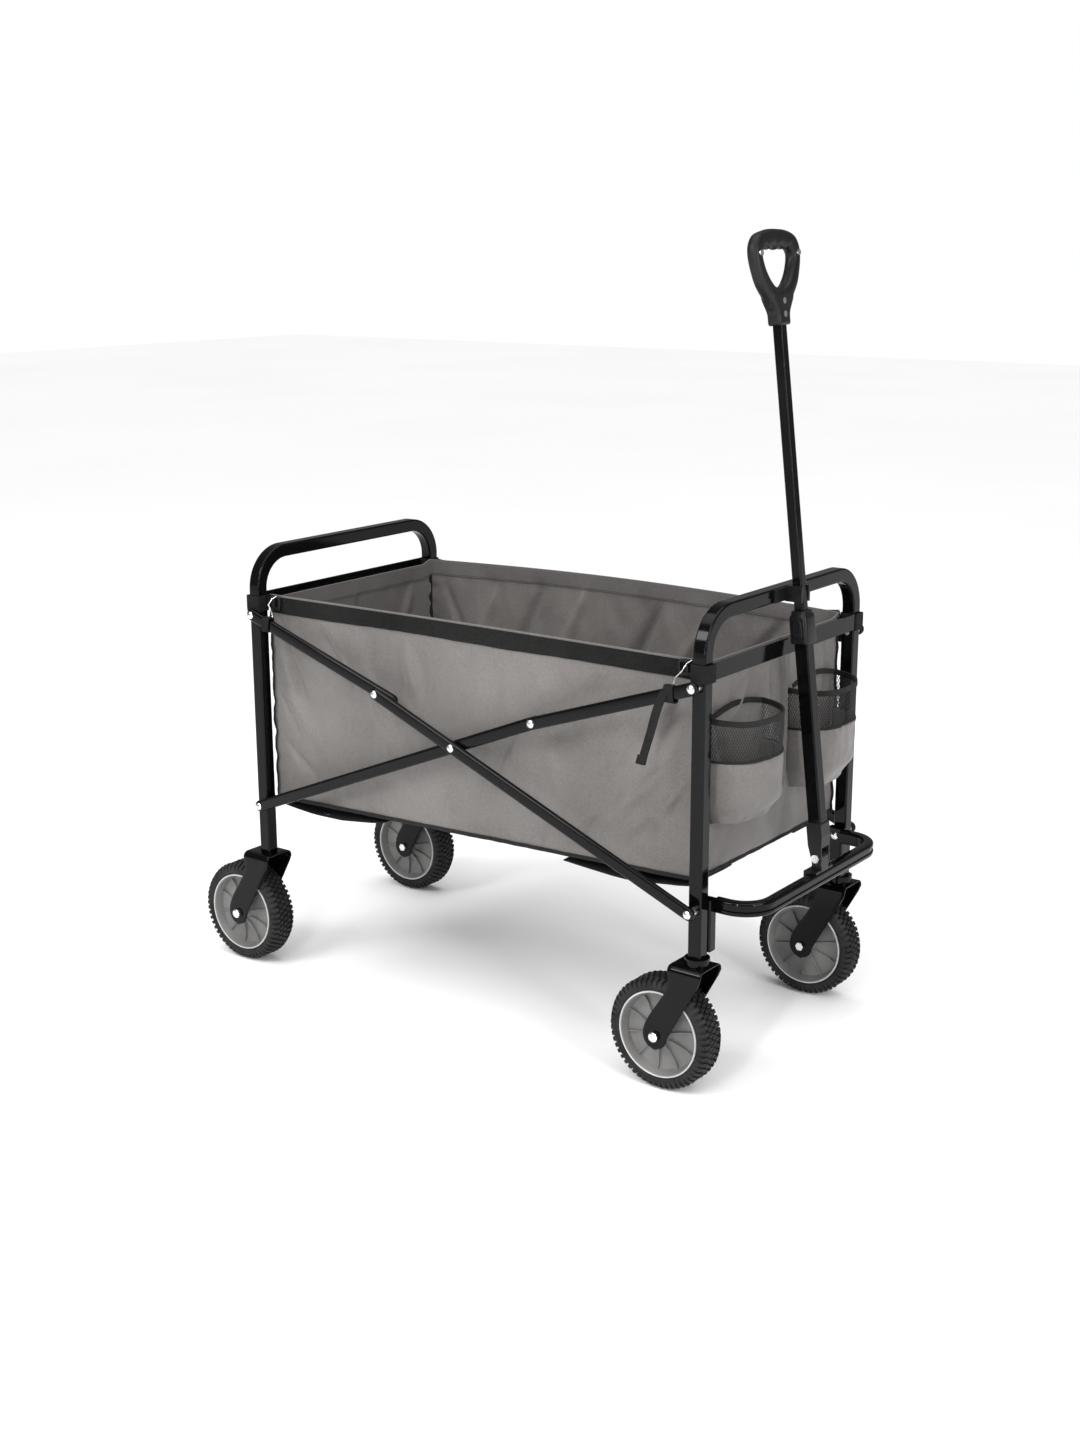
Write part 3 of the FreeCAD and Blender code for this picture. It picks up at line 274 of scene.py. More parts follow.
class Shape:
    """Points and faces that grow piece by piece."""

    def __init__(self):
        self.points, self.faces, self.slots = [], [], []

    def put(self, points, faces, slot=0):
        base = len(self.points)
        self.points += [Vector(p) for p in points]
        self.faces += [[base + i for i in f] for f in faces]
        self.slots += [slot] * len(faces)
        return self

    def merge(self, other, move=None, slot=None):
        base = len(self.points)
        self.points += [move @ p if move else p.copy() for p in other.points]
        self.faces += [[base + i for i in f] for f in other.faces]
        self.slots += [s if slot is None else slot for s in other.slots]
        return self

    def piece(self, name, materials, body, **more):
        return new_piece(name, self.points, self.faces, None, body, materials=materials,
                         face_slots=self.slots, **more)


def loft(rings, closed_ring=True, caps=True, closed_path=False):
    """Faces over rows of points, each row a ring."""
    n = len(rings[0])
    points = [p for ring in rings for p in ring]
    faces = []
    rows = len(rings) if closed_path else len(rings) - 1
    for r in range(rows):
        a, b = r * n, ((r + 1) % len(rings)) * n
        for i in range(n if closed_ring else n - 1):
            j = (i + 1) % n
            faces.append([a + i, a + j, b + j, b + i])
    if caps and closed_ring and not closed_path:
        faces.append(list(range(n))[::-1])
        faces.append([(len(rings) - 1) * n + i for i in range(n)])
    return points, faces


def rounded_box_outline(wide, high, radius, steps=5, centre=(0, 0)):
    points = []
    for cx, cy, start in ((1, 1, 0), (-1, 1, 90), (-1, -1, 180), (1, -1, 270)):
        for k in range(steps + 1):
            a = radians(start + 90 * k / steps)
            points.append((centre[0] + cx * (wide / 2 - radius) + radius * cos(a),
                           centre[1] + cy * (high / 2 - radius) + radius * sin(a)))
    return points


def stadium_outline(length, radius, steps=12):
    """A slot outline from 0 to length."""
    points = []
    for centre, start in ((length, -90), (0, 90)):
        for k in range(steps + 1):
            a = radians(start + 180 * k / steps)
            points.append((centre + radius * cos(a), radius * sin(a)))
    return points


def inward(outline, distance):
    """The outline drawn in by a distance, for a convex or gently curved shape listed anticlockwise."""
    n = len(outline)
    moved = []
    for i, (x, y) in enumerate(outline):
        ax, ay = outline[i - 1]
        bx, by = outline[(i + 1) % n]
        tx, ty = bx - ax, by - ay
        size = hypot(tx, ty) or 1
        moved.append((x - ty / size * distance, y + tx / size * distance))
    return moved


def rounded_plate(outline, thick, radius, steps=4):
    """A plate across Y, thick about 0, whose edges are rounded over."""
    rings = []
    for way in (-1, 1):
        angles = [90 * k / steps for k in range(steps + 1)]
        for a in (angles[::-1] if way < 0 else angles):
            a = radians(a)
            y = way * (thick / 2 - radius + radius * sin(a))
            row = inward(outline, radius * (1 - cos(a)))
            rings.append([Vector((px, y, pz)) for px, pz in row])
    points, faces = loft(rings)
    return Shape().put(points, faces)


def sweep(path, profile, up=Vector((0, 0, 1)), closed=False, scale=None):
    """Carries a profile of (across, up) points along a path."""
    rings = []
    n = len(path)
    for i, p in enumerate(path):
        before = path[i - 1] if (i or closed) else p
        after = path[(i + 1) % n] if (i < n - 1 or closed) else p
        forward = (Vector(after) - Vector(before)).normalized()
        across = forward.cross(up).normalized()
        lift = across.cross(forward).normalized()
        s = scale[i] if scale else 1
        rings.append([Vector(p) + across * u * s + lift * v * s for u, v in profile])
    points, faces = loft(rings, closed_path=closed)
    return Shape().put(points, faces)


def lathe(profile, segments, closed=True):
    """Turns (radius, offset) points about Y."""
    rings = []
    for k in range(segments):
        a = 2 * pi * k / segments
        rings.append([Vector((r * cos(a), y, r * sin(a))) for r, y in profile])
    points, faces = loft(rings, closed_ring=closed, closed_path=True)
    return Shape().put(points, faces)


def smoothstep(a, b, x):
    t = max(0.0, min(1.0, (x - a) / (b - a)))
    return t * t * (3 - 2 * t)


def rough_at(x, y, z):
    """A smooth uneven value at a place, from about -1 to 1."""
    return noise.noise(Vector((x, y, z)))


# ---------------------------------------------------------------- side linkage
def linkage_bar(name, side, layer, start, angle, length, tail=0.0):
    bar = rounded_plate(stadium_outline(length + tail, LINK_HIGH / 2, 10), LINK_DEEP, 0.0042, 5)
    place = (Matrix.Translation((start[0], side * LAYERS[layer], start[1]))
             @ Matrix.Rotation(-radians(angle), 4, "Y"))
    shape = Shape().merge(bar, place)
    shape.piece(f"{name}_bar", [PAINT], name, stands_for=[name], slot="frame_black", angle=50)


ARM = hypot(HALF, CROSS_RISE)
OPEN_ANGLE = degrees(atan2(CROSS_RISE, HALF))
ELBOW_OUT = ARM_PAST * cos(radians(OPEN_ANGLE))
ELBOW_UP = CROSS_RISE + ARM_PAST * sin(radians(OPEN_ANGLE))
LINK = hypot(HALF - ELBOW_OUT, PIVOT_GAP - ELBOW_UP)
LINK_ANGLE = degrees(atan2(PIVOT_GAP - ELBOW_UP, HALF - ELBOW_OUT))
for word, side in SIDES:
    high = LOW_PIVOT + PIVOT_GAP
    linkage_bar(f"{word}_arm_rear", side, 0, (REAR, LOW_PIVOT), OPEN_ANGLE, ARM + ARM_PAST)
    linkage_bar(f"{word}_arm_front", side, 1, (FRONT, LOW_PIVOT), 180 - OPEN_ANGLE, ARM + ARM_PAST)
    linkage_bar(f"{word}_link_rear", side, 0, (REAR, high), -LINK_ANGLE, LINK, LINK_PAST)
    linkage_bar(f"{word}_link_front", side, 1, (FRONT, high), 180 + LINK_ANGLE, LINK)


# ---------------------------------------------------------------- wheels
LUGS = 54
CROWN_ROW = 0.0088
RIBS = 10


def tyre_shape():
    """A chunky tyre: a smooth casing, square shoulder lugs and diamond blocks over the crown."""
    half = TYRE_WIDE / 2
    base = WHEEL_RADIUS - 0.0048
    section = [(RIM_RADIUS, -half + 0.004), (RIM_RADIUS + 0.003, -half + 0.0015),
               (RIM_RADIUS + 0.007, -half + 0.001), (base - 0.007, -half + 0.001),
               (base - 0.003, -half + 0.0035), (base, -half + 0.008)]
    section += [(r, -y) for r, y in reversed(section)]
    tyre = lathe(section, 120)
    step = 2 * pi / LUGS

    def block(angle, foot, crown):
        """A block from four (turn, offset, radius) corners at its foot and four at its crown."""
        corners = []
        for turn, y, r in foot + crown:
            a = angle + turn * step
            corners.append(Vector((r * cos(a), y, r * sin(a))))
        faces = [[3, 2, 1, 0], [4, 5, 6, 7], [0, 1, 5, 4], [1, 2, 6, 5], [2, 3, 7, 6], [3, 0, 4, 7]]
        tyre.put(corners, faces)

    low = base - 0.002
    for k in range(LUGS):
        a = k * step
        for way in (-1, 1):
            shoulder = a + (0.5 * step if way > 0 else 0)
            outer, inner = way * (half - 0.0002), way * (half - 0.0105)
            block(shoulder, [(-0.34, outer, base - 0.0095), (0.34, outer, base - 0.0095),
                             (0.34, inner, low), (-0.34, inner, low)],
                  [(-0.27, outer - way * 0.0012, WHEEL_RADIUS - 0.0052),
                   (0.27, outer - way * 0.0012, WHEEL_RADIUS - 0.0052),
                   (0.27, inner, WHEEL_RADIUS - 0.0001), (-0.27, inner, WHEEL_RADIUS - 0.0001)])
        for y, turn in ((-CROWN_ROW, 0.5), (0.0, 0.0), (CROWN_ROW, 0.5)):
            foot, crown = ([(-0.40 * size, y, r), (0, y - 0.0070 * size, r), (0.40 * size, y, r),
                            (0, y + 0.0070 * size, r)]
                           for size, r in ((1.0, low), (0.80, WHEEL_RADIUS - 0.0008)))
            block(a + turn * step, foot, crown)
    return tyre


def rim_shape():
    """A dished rim: barrel, smooth web, hub, thin ribs on both faces, and a raised lip ring on each face in
    the second slot, which carries a painted highlight.
    """
    half = TYRE_WIDE / 2 - 0.003
    profile = [(RIM_RADIUS, half), (RIM_RADIUS - 0.0025, half + 0.001), (RIM_RADIUS - 0.0042, half),
               (RIM_RADIUS - 0.0056, half - 0.004), (0.0600, 0.0085), (0.0540, 0.0065), (0.0300, 0.0085),
               (0.0200, 0.0118), (0.0175, 0.0150), (0.0165, half + 0.0025), (0.0150, half + 0.004),
               (0.0042, half + 0.004)]
    rim = lathe(profile + [(r, -y) for r, y in reversed(profile)], 96)
    for k in range(RIBS):
        a = 2 * pi * (k + 0.35) / RIBS
        out, beside = Vector((cos(a), 0, sin(a))), Vector((-sin(a), 0, cos(a)))
        for way in (-1, 1):
            rows = []
            for r, top, wide in ((0.0150, 0.0190, 0.0015), (0.0300, 0.0132, 0.0013), (0.0480, 0.0104, 0.0012),
                                 (0.0600, 0.0125, 0.0012), (0.0645, 0.0150, 0.0013)):
                rows.append([out * r + beside * across + Vector((0, way * y, 0)) for across, y in
                             ((-wide, 0.002), (-wide * 0.6, top), (wide * 0.6, top), (wide, 0.002))])
            rim.put(*loft(rows))
    # the raised lip on each face, in the second slot: painted light grey as a highlight along the edge
    for way in (-1, 1):
        ring = lathe([(RIM_RADIUS - inset, way * (half + rise)) for inset, rise in
                      ((0.0004, 0.0004), (0.0010, 0.0016), (0.0022, 0.0016), (0.0030, 0.0004))], 96)
        rim.merge(ring, slot=1)
    return rim


TYRE, RIM = tyre_shape(), rim_shape()
for word, side in SIDES:
    for end, x in (("rear", REAR), ("front", FRONT)):
        place = Matrix.Translation((x - TRAIL, side * LEG_Y, WHEEL_RADIUS))
        wheel_word = f"{end}_{word}"
        Shape().merge(TYRE, place).piece(f"{wheel_word}_tread", [RUBBER], f"{wheel_word}_wheel",
                                         stands_for=[f"{wheel_word}_tyre"], slot="tyre_black", angle=30)
        Shape().merge(RIM, place).piece(f"{wheel_word}_spoked_rim", [RIM_GREY, RIM_LIP_HIGHLIGHT],
                                        f"{wheel_word}_wheel",
                                        stands_for=[f"{wheel_word}_rim", f"{wheel_word}_web"],
                                        slot="rim_grey", angle=30)


# ---------------------------------------------------------------- the basket's cloth
CORNER = 0.004
NEAR, FRONT_WALL, FAR, REAR_WALL = 0, 1, 2, 3
SPAN_X, SPAN_Y = WALL_FRONT - WALL_REAR, 2 * WALL_SIDE
LONG, SHORT, TURN = 190, 96, 4


def wall_line():
    """The basket's outline from above, from the near rear corner, as (point, outward, wall, share)."""
    line = []
    runs = [((WALL_REAR, -WALL_SIDE), (1, 0), (0, -1), SPAN_X, LONG),
            ((WALL_FRONT, -WALL_SIDE), (0, 1), (1, 0), SPAN_Y, SHORT),
            ((WALL_FRONT, WALL_SIDE), (-1, 0), (0, 1), SPAN_X, LONG),
            ((WALL_REAR, WALL_SIDE), (0, -1), (-1, 0), SPAN_Y, SHORT)]
    for wall, ((x, y), (dx, dy), (nx, ny), length, count) in enumerate(runs):
        for k in range(count + 1):
            s = CORNER + (length - 2 * CORNER) * k / count
            line.append((Vector((x + dx * s, y + dy * s, 0)), Vector((nx, ny, 0)), wall, s / length))
        mx, my = runs[(wall + 1) % 4][2]
        cx, cy = x + dx * (length - CORNER) - nx * CORNER, y + dy * (length - CORNER) - ny * CORNER
        for k in range(1, TURN + 1):
            a = radians(90 * k / (TURN + 1))
            out = Vector((nx, ny, 0)) * cos(a) + Vector((mx, my, 0)) * sin(a)
            line.append((Vector((cx, cy, 0)) + out * CORNER, out, wall if k < 3 else (wall + 1) % 4,
                         1.0 if k < 3 else 0.0))
    return line


LINE = wall_line()


def top_of(wall, share):
    arch = {NEAR: 0.002, FAR: 0.010}.get(wall, 0.0)
    droop = 0.0
    if wall in (FRONT_WALL, REAR_WALL):
        droop = 0.007 * smoothstep(0.0, 0.06, share) * smoothstep(0.0, 0.06, 1 - share)
    return 0.663 + arch * sin(pi * share) - droop


def bottom_of(p):
    return 0.305 + 0.026 * (p.x - WALL_REAR) / SPAN_X


def fold(u, z, start, end, width, depth):
    """The depth of one soft crease that runs from start to end over a wall."""
    ax, az = start
    bx, bz = end
    dx, dz = bx - ax, bz - az
    t = ((u - ax) * dx + (z - az) * dz) / (dx * dx + dz * dz)
    if t < -0.1 or t > 1.1:
        return 0.0
    off = ((u - ax) * dz - (z - az) * dx) / hypot(dx, dz)
    ends = smoothstep(-0.1, 0.2, t) * (1 - smoothstep(0.6, 1.1, t))
    spread_out = width * (0.6 + 0.9 * max(0.0, min(1.0, t)))
    return depth * ends * exp(-((off / spread_out) ** 2))


CREASES = {
    NEAR: [((0.012, 0.64), (0.05, 0.55), 0.006, -0.0035), ((0.012, 0.57), (0.06, 0.50), 0.006, 0.0032),
           ((0.012, 0.50), (0.07, 0.42), 0.006, -0.0032), ((0.84, 0.63), (0.76, 0.50), 0.008, -0.0035),
           ((0.845, 0.49), (0.78, 0.40), 0.007, 0.0030), ((0.22, 0.56), (0.30, 0.36), 0.016, 0.0040),
           ((0.70, 0.62), (0.54, 0.46), 0.020, -0.0042), ((0.12, 0.62), (0.20, 0.50), 0.014, -0.0034),
           ((0.02, 0.60), (0.09, 0.47), 0.010, -0.0040), ((0.03, 0.52), (0.12, 0.40), 0.009, 0.0030),
           ((0.02, 0.42), (0.10, 0.35), 0.008, -0.0030), ((0.84, 0.60), (0.62, 0.44), 0.016, -0.0045),
           ((0.84, 0.53), (0.66, 0.36), 0.012, 0.0035), ((0.83, 0.45), (0.72, 0.35), 0.009, -0.0030),
           ((0.52, 0.50), (0.44, 0.36), 0.014, -0.0035), ((0.30, 0.62), (0.36, 0.42), 0.018, 0.0035),
           ((0.60, 0.40), (0.56, 0.33), 0.008, -0.0025), ((0.40, 0.40), (0.38, 0.33), 0.007, 0.0022),
           ((0.68, 0.40), (0.63, 0.34), 0.006, -0.0025)],
    FAR: [((0.10, 0.64), (0.30, 0.40), 0.013, 0.0070), ((0.22, 0.65), (0.36, 0.46), 0.010, -0.0060),
          ((0.34, 0.64), (0.46, 0.40), 0.014, 0.0070), ((0.50, 0.65), (0.60, 0.42), 0.012, -0.0060),
          ((0.60, 0.64), (0.68, 0.45), 0.010, 0.0055), ((0.70, 0.63), (0.78, 0.42), 0.013, -0.0050),
          ((0.82, 0.62), (0.74, 0.45), 0.009, 0.0040)],
    FRONT_WALL: [((0.04, 0.60), (0.10, 0.42), 0.010, -0.0030), ((0.21, 0.63), (0.20, 0.36), 0.008, -0.0035),
                 ((0.235, 0.63), (0.24, 0.38), 0.007, 0.0030), ((0.40, 0.60), (0.33, 0.42), 0.010, -0.0030),
                 ((0.14, 0.62), (0.08, 0.55), 0.008, 0.0025), ((0.28, 0.60), (0.34, 0.50), 0.009, 0.0025)],
    REAR_WALL: [((0.05, 0.62), (0.14, 0.42), 0.012, -0.0035), ((0.20, 0.64), (0.22, 0.40), 0.012, 0.0030),
                ((0.36, 0.62), (0.28, 0.42), 0.012, -0.0035)],
}
LENGTHS = {NEAR: SPAN_X, FAR: SPAN_X, FRONT_WALL: SPAN_Y, REAR_WALL: SPAN_Y}


def slack(p, wall, share, z):
    """How far the cloth stands out from its flat plane."""
    u = share * LENGTHS[wall]
    edge = min(u, LENGTHS[wall] - u)
    top, low = top_of(wall, share), bottom_of(p)
    v = (top - z) / (top - low)
    free = smoothstep(0.0, 0.06, edge)
    hang = smoothstep(0.0, 0.10, v) * smoothstep(0.0, 0.05, 1 - v)
    seed = 3.7 * wall
    out = 0.0032 * rough_at(u * 24, z * 5, seed)
    out += 0.0066 * rough_at(u * 6, z * 4, seed + 9)
    out += 0.0018 * rough_at(u * 46, z * 24, seed + 5)
    out += (1.5 if wall == FAR else 2.3) * sum(fold(u, z, *crease) for crease in CREASES[wall])
    out += 0.004 * sin(pi * share) * sin(pi * v)
    out *= free * hang
    pucker = exp(-edge / 0.016) * hang
    out += 0.0034 * pucker * rough_at(u * 18, z * 62, seed + 2)
    out += 0.0012 * exp(-(1 - v) / 0.05) * rough_at(u * 60, 0.4, seed + 1) * free
    return out - 0.0014 * (1 - free)


def wall_point(i, z, stand=0.0):
    p, out, wall, share = LINE[i % len(LINE)]
    reach = slack(p, wall, share, z) + stand
    return Vector((p.x, p.y, z)) + out * reach


ROWS = 96
HEM = 0.026


def basket_cloth():
    cloth = Shape()
    rings = []
    for r in range(ROWS + 1):
        v = r / ROWS
        ring = []
        for i, (p, _, wall, share) in enumerate(LINE):
            top, low = top_of(wall, share), bottom_of(p)
            ring.append(wall_point(i, top + (low - top) * v))
        rings.append(ring)
    inner_half = SPAN_Y / 2
    for step in range(1, 15):
        t = step / 14
        ring = []
        for i, q in enumerate(rings[ROWS]):
            spine = Vector((max(WALL_REAR + inner_half, min(WALL_FRONT - inner_half, q.x)), 0, 0))
            flat = Vector((q.x, q.y, 0)).lerp(spine, t)
            low = bottom_of(flat)
            sag = 0.004 * sin(pi * t) + 0.0015 * rough_at(flat.x * 14, flat.y * 14, 1)
            ring.append(Vector((flat.x, flat.y, low - 0.001 - sag * smoothstep(0, 0.2, t))))
        rings.append(ring)
    points, faces = loft(rings, caps=False)
    cloth.put(points, faces)
    n = len(LINE)
    cloth.slots = [0 if f // n < ROWS else 1 for f in range(len(cloth.faces))]
    return cloth


basket = basket_cloth().piece("basket_cloth", [CLOTH, FLOOR_CLOTH], "rear_frame",
                              stands_for=["basket_rear_wall", "basket_right_wall", "basket_left_wall",
                                          "basket_floor", "basket_front_wall"], slot="fabric_grey", angle=75)
BASKET_EXTRAS = []


def crumples(piece):
    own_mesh(piece)
    BASKET_EXTRAS.append(piece)
    return piece


def wall_strip(name, first, last, z_high, z_low, inside, outside, materials, rows=3):
    """A closed band that follows the cloth from one place of its outline to another.

    z_high and z_low are distances below the cloth's top edge, inside and outside its two faces."""
    strip = Shape()
    rings = []
    for i in range(first, last + 1):
        top = top_of(*LINE[i % len(LINE)][2:])
        ring = []
        for face, order in ((outside, range(rows + 1)), (inside, range(rows, -1, -1))):
            for k in order:
                z = top - z_high - (z_low - z_high) * k / rows
                ring.append(wall_point(i, z, face))
        rings.append(ring)
    whole = last - first + 1 >= len(LINE)
    points, faces = loft(rings[:len(LINE)] if whole else rings, closed_path=whole)
    strip.put(points, faces)
    return strip.piece(name, materials, "rear_frame", slot="fabric_grey", angle=50)


NEAR_END = LONG + 1
FRONT_END = NEAR_END + TURN + SHORT
FAR_START = FRONT_END + TURN + 1
FAR_END = FAR_START + LONG
TOTAL = len(LINE)

# the hem inside the top edge, sewn with a row of thread, and its fold over the edge
crumples(wall_strip("hem", 0, TOTAL, -0.0012, HEM, -0.0022, -0.0004, [CLOTH_DARK]))
crumples(wall_strip("hem_stitch_low", 0, TOTAL, HEM - 0.0034, HEM - 0.0024, -0.0027, -0.0020, [THREAD],
                    rows=1))
crumples(wall_strip("hem_fold", 0, TOTAL, -0.0022, 0.0034, -0.0024, 0.0016, [CLOTH_DARK], rows=2))
# the webbing bands sewn along the outer top edges of both sides
for name, first, last in (("right_webbing_band", 1, NEAR_END - 1),
                          ("left_webbing_band", FAR_START + 1, FAR_END - 1)):
    crumples(wall_strip(name, first, last, 0.0004, 0.0278, 0.0008, 0.0026, [WEBBING], rows=4))


def edge_binding(name, material, half_thick=0.0022, high=0.009):
    """The folded tape sewn round the bottom edge of the walls."""
    rings = []
    for i in range(TOTAL):
        low = bottom_of(LINE[i][0])
        centre = wall_point(i, low + 0.0005)
        out = LINE[i][1]
        wave = 0.0010 * rough_at(i * 0.33, 2.0, 1.0)
        ring = []
        for a, b in ((-1, 0.15), (-0.55, -0.35), (0, -0.5), (0.55, -0.35), (1, 0.15), (0.8, 1), (-0.8, 1)):
            ring.append(centre + out * (a * half_thick + wave) + Vector((0, 0, b * high * 0.5 + 0.001)))
        rings.append(ring)
    shape = Shape().put(*loft(rings, closed_path=True))
    return shape.piece(name, [material], "rear_frame", slot="fabric_grey", angle=60)


crumples(edge_binding("bottom_binding", BINDING))


def corner_binding(name, index):
    """The tape sewn down one upright corner, a little puckered."""
    rings = []
    rows = 70
    for r in range(rows + 1):
        p, out, wall, share = LINE[index]
        top, low = top_of(wall, share) - 0.004, bottom_of(p)
        z = top + (low - top) * r / rows
        along = Vector((-out.y, out.x, 0))
        wave = 0.0016 * rough_at(z * 45, index, 3.0)
        centre = wall_point(index, z, 0.0002)
        ring = []
        for a, b in ((-1, -0.4), (-0.6, 0.6), (0, 1), (0.6, 0.6), (1, -0.4), (0, -0.7)):
            ring.append(centre + along * (a * 0.0085 + wave) + out * b * 0.0021)
        rings.append(ring)
    return Shape().put(*loft(rings)).piece(name, [BINDING], "rear_frame", slot="fabric_grey", angle=60)


for name, index in (("right_front_binding", NEAR_END + 2), ("left_front_binding", FRONT_END + 2),
                    ("left_rear_binding", FAR_END + 2), ("right_rear_binding", TOTAL - 3)):
    crumples(corner_binding(name, index))

# ---------------------------------------------------------------- straps and buckles
def flat_strap(name, path, half_wide, half_thick, body, up=Vector((0, 0, 1)), closed=False, material=WEBBING):
    """Webbing along a path, its width standing along up."""
    middle = half_thick * 1.15
    profile = [(-half_thick, -half_wide), (half_thick, -half_wide), (middle, 0), (half_thick, half_wide),
               (-half_thick, half_wide), (-middle, 0)]
    return sweep([Vector(p) for p in path], profile, up=up, closed=closed).piece(
        name, [material], body, slot="fabric_grey", angle=45)


def round_rect_path(x0, x1, y0, y1, radius, z, steps=4):
    outline = rounded_box_outline(x1 - x0, y1 - y0, radius, steps, ((x0 + x1) / 2, (y0 + y1) / 2))
    return [(x, y, z) for x, y in outline]


LEG_HALF = TUBE / 2
for word, side in SIDES:
    for end, x, body, bar in (("rear", REAR, "rear_frame", -1), ("front", FRONT, "front_frame", 1)):
        lo = x - LEG_HALF - (0.0045 if bar < 0 else 0.0014)
        hi = x + LEG_HALF + (0.0045 if bar > 0 else 0.0014)
        y0, y1 = side * (LEG_Y - LEG_HALF - 0.0004), side * (LEG_Y + LEG_HALF + 0.0016)
        loop = round_rect_path(lo, hi, min(y0, y1), max(y0, y1), 0.0022, 0.6512)
        flat_strap(f"{word}_{end}_leg_loop", loop, 0.0134, 0.0008, body, closed=True)


def buckle(name, x, y, z, tilt, body):
    """A moulded three-bar slider, lying against the side."""
    shape = Shape()
    wide, high, bar, thick = 0.030, 0.024, 0.0042, 0.0036
    outer = rounded_box_outline(wide, high, 0.005, 5)
    inner = rounded_box_outline(wide - 2 * bar, high - 2 * bar, 0.0025, 5)
    outer_lip, inner_lip = inward(outer, 0.0008), inward(inner, -0.0008)
    face, edge = thick / 2, thick / 2 - 0.0009
    rows = [(outer, -edge), (outer_lip, -face), (inner_lip, -face), (inner, -edge), (inner, edge),
            (inner_lip, face), (outer_lip, face), (outer, edge)]
    rings = [[Vector((px, off, pz)) for px, pz in ring] for ring, off in rows]
    points, faces = loft(rings, closed_path=True)
    shape.put(points, faces)
    middle = rounded_plate(rounded_box_outline(0.0046, high - bar, 0.002, 3), thick, 0.0012, 3)
    shape.merge(middle)
    place = Matrix.Translation((x, y, z)) @ Matrix.Rotation(radians(tilt), 4, "Y")
    return Shape().merge(shape, place).piece(name, [SATIN], body, slot="plastic_black", angle=40)


def wire_hook(name, points, radius, body):
    path = [Vector(p) for p in points]
    turns = [2 * pi * k / 10 for k in range(10)]
    profile = [(radius * cos(a), radius * sin(a)) for a in turns]
    return sweep(path, profile, up=Vector((0.2, 0.9, 0.1))).piece(name, [ZINC], body, slot="zinc", angle=60)


BAND_Z = 0.650
for word, side in SIDES:
    for end, sign, leg_x, body in (("front", -1, FRONT, "front_frame"), ("rear", 1, REAR, "rear_frame")):
        out = side * (LAYERS[1] + 0.0075)
        x_buckle = leg_x + sign * 0.030
        buckle(f"{word}_{end}_slider", x_buckle, side * 0.2185, BAND_Z + 0.004, 6 * sign, body)
        # the short strap that ties the band to the bar's end, looped round the bar
        bar_x = leg_x + sign * 0.036
        slope = tan(radians(LINK_ANGLE))
        bar_z = LOW_PIVOT + PIVOT_GAP - 0.036 * slope
        layer_y = LAYERS[1] if end == "front" else LAYERS[0]
        ring = []
        for k in range(24):
            a = 2 * pi * k / 24
            c, s = cos(a), sin(a)
            across = copysign(abs(c) ** 0.55, c) * 0.0068
            ring.append((bar_x + sign * 0.002 * s, side * (layer_y + across),
                         bar_z + copysign(abs(s) ** 0.55, s) * 0.0122))
        flat_strap(f"{word}_{end}_bar_loop", ring, 0.0075, 0.0009, body, up=Vector((1, 0, 0)), closed=True)
        if end == "front":
            tail_top = (bar_x + sign * 0.006, out, bar_z + 0.004)
            tail_end = (tail_top[0] + sign * 0.036, out - side * 0.001, tail_top[2] - 0.112)
            path = []
            for k in range(15):
                t = k / 14
                bow = sign * 0.003 * sin(pi * t)
                path.append((tail_top[0] + (tail_end[0] - tail_top[0]) * t + bow,
                             out + side * 0.0016 * sin(2.6 * pi * t),
                             tail_top[2] + (tail_end[2] - tail_top[2]) * t))
            flat_strap(f"{word}_{end}_strap_tail", path, 0.0066, 0.0008, body, up=Vector((1, 0, 0.32)))
            fold_path = [(tail_end[0] + sign * 0.0005, tail_end[1] + side * 0.0013, tail_end[2] + 0.010),
                         (tail_end[0] + sign * 0.0035, tail_end[1] + side * 0.0016, tail_end[2]),
                         (tail_end[0] + sign * 0.0040, tail_end[1] + side * 0.0006, tail_end[2] - 0.0022)]
            flat_strap(f"{word}_{end}_tail_fold", fold_path, 0.0072, 0.0011, body, up=Vector((1, 0, 0.32)))
        hook = [(x_buckle + 0.010, side * 0.2225, BAND_Z + 0.016),
                (x_buckle + 0.006, side * 0.2290, BAND_Z + 0.012),
                (x_buckle + 0.001, side * 0.2335, BAND_Z + 0.002),
                (bar_x + sign * 0.004, side * 0.2350, BAND_Z - 0.010),
                (bar_x + sign * 0.006, side * 0.2352, BAND_Z - 0.019)]
        wire_hook(f"{word}_{end}_wire_hook", hook, 0.0011, body)


# ---------------------------------------------------------------- cup pockets of net and cloth
POCKET_HALF, POCKET_DEEP, POCKET_LOW, POCKET_TOP = 0.076, 0.066, 0.415, 0.578
POCKET_FACE = WALL_FRONT + 0.0022
SEAM_Z = 0.512
THIRD_TURN = 2 * pi / 3


def pocket_point(side, t, z, grow=0.0):
    """A point of a pocket's skin: t runs from 0 to 1 round the half oval."""
    a = pi * t
    rise = smoothstep(POCKET_LOW, POCKET_LOW + 0.035, z)
    belly = 1 + 0.05 * sin(pi * (z - POCKET_LOW) / (POCKET_TOP - POCKET_LOW))
    half = (POCKET_HALF + grow) * (0.86 + 0.14 * rise) * min(belly, 1.02)
    deep = (POCKET_DEEP + grow) * (0.70 + 0.30 * rise) * min(belly, 1.0)
    soft = 0.8
    cx, cy = cos(a), sin(a)
    y = copysign(abs(cx) ** soft, cx) * half
    x = abs(cy) ** 0.92 * deep
    dent = 0.0035 * rough_at(t * 6, z * 22, side * 4.0) + 0.0016 * rough_at(t * 20, z * 60, side * 7.0)
    return Vector((POCKET_FACE + x + dent * cy, side * 0.115 + y, z))


def rim_height(t):
    return POCKET_TOP - 0.006 - 0.004 * sin(pi * t)


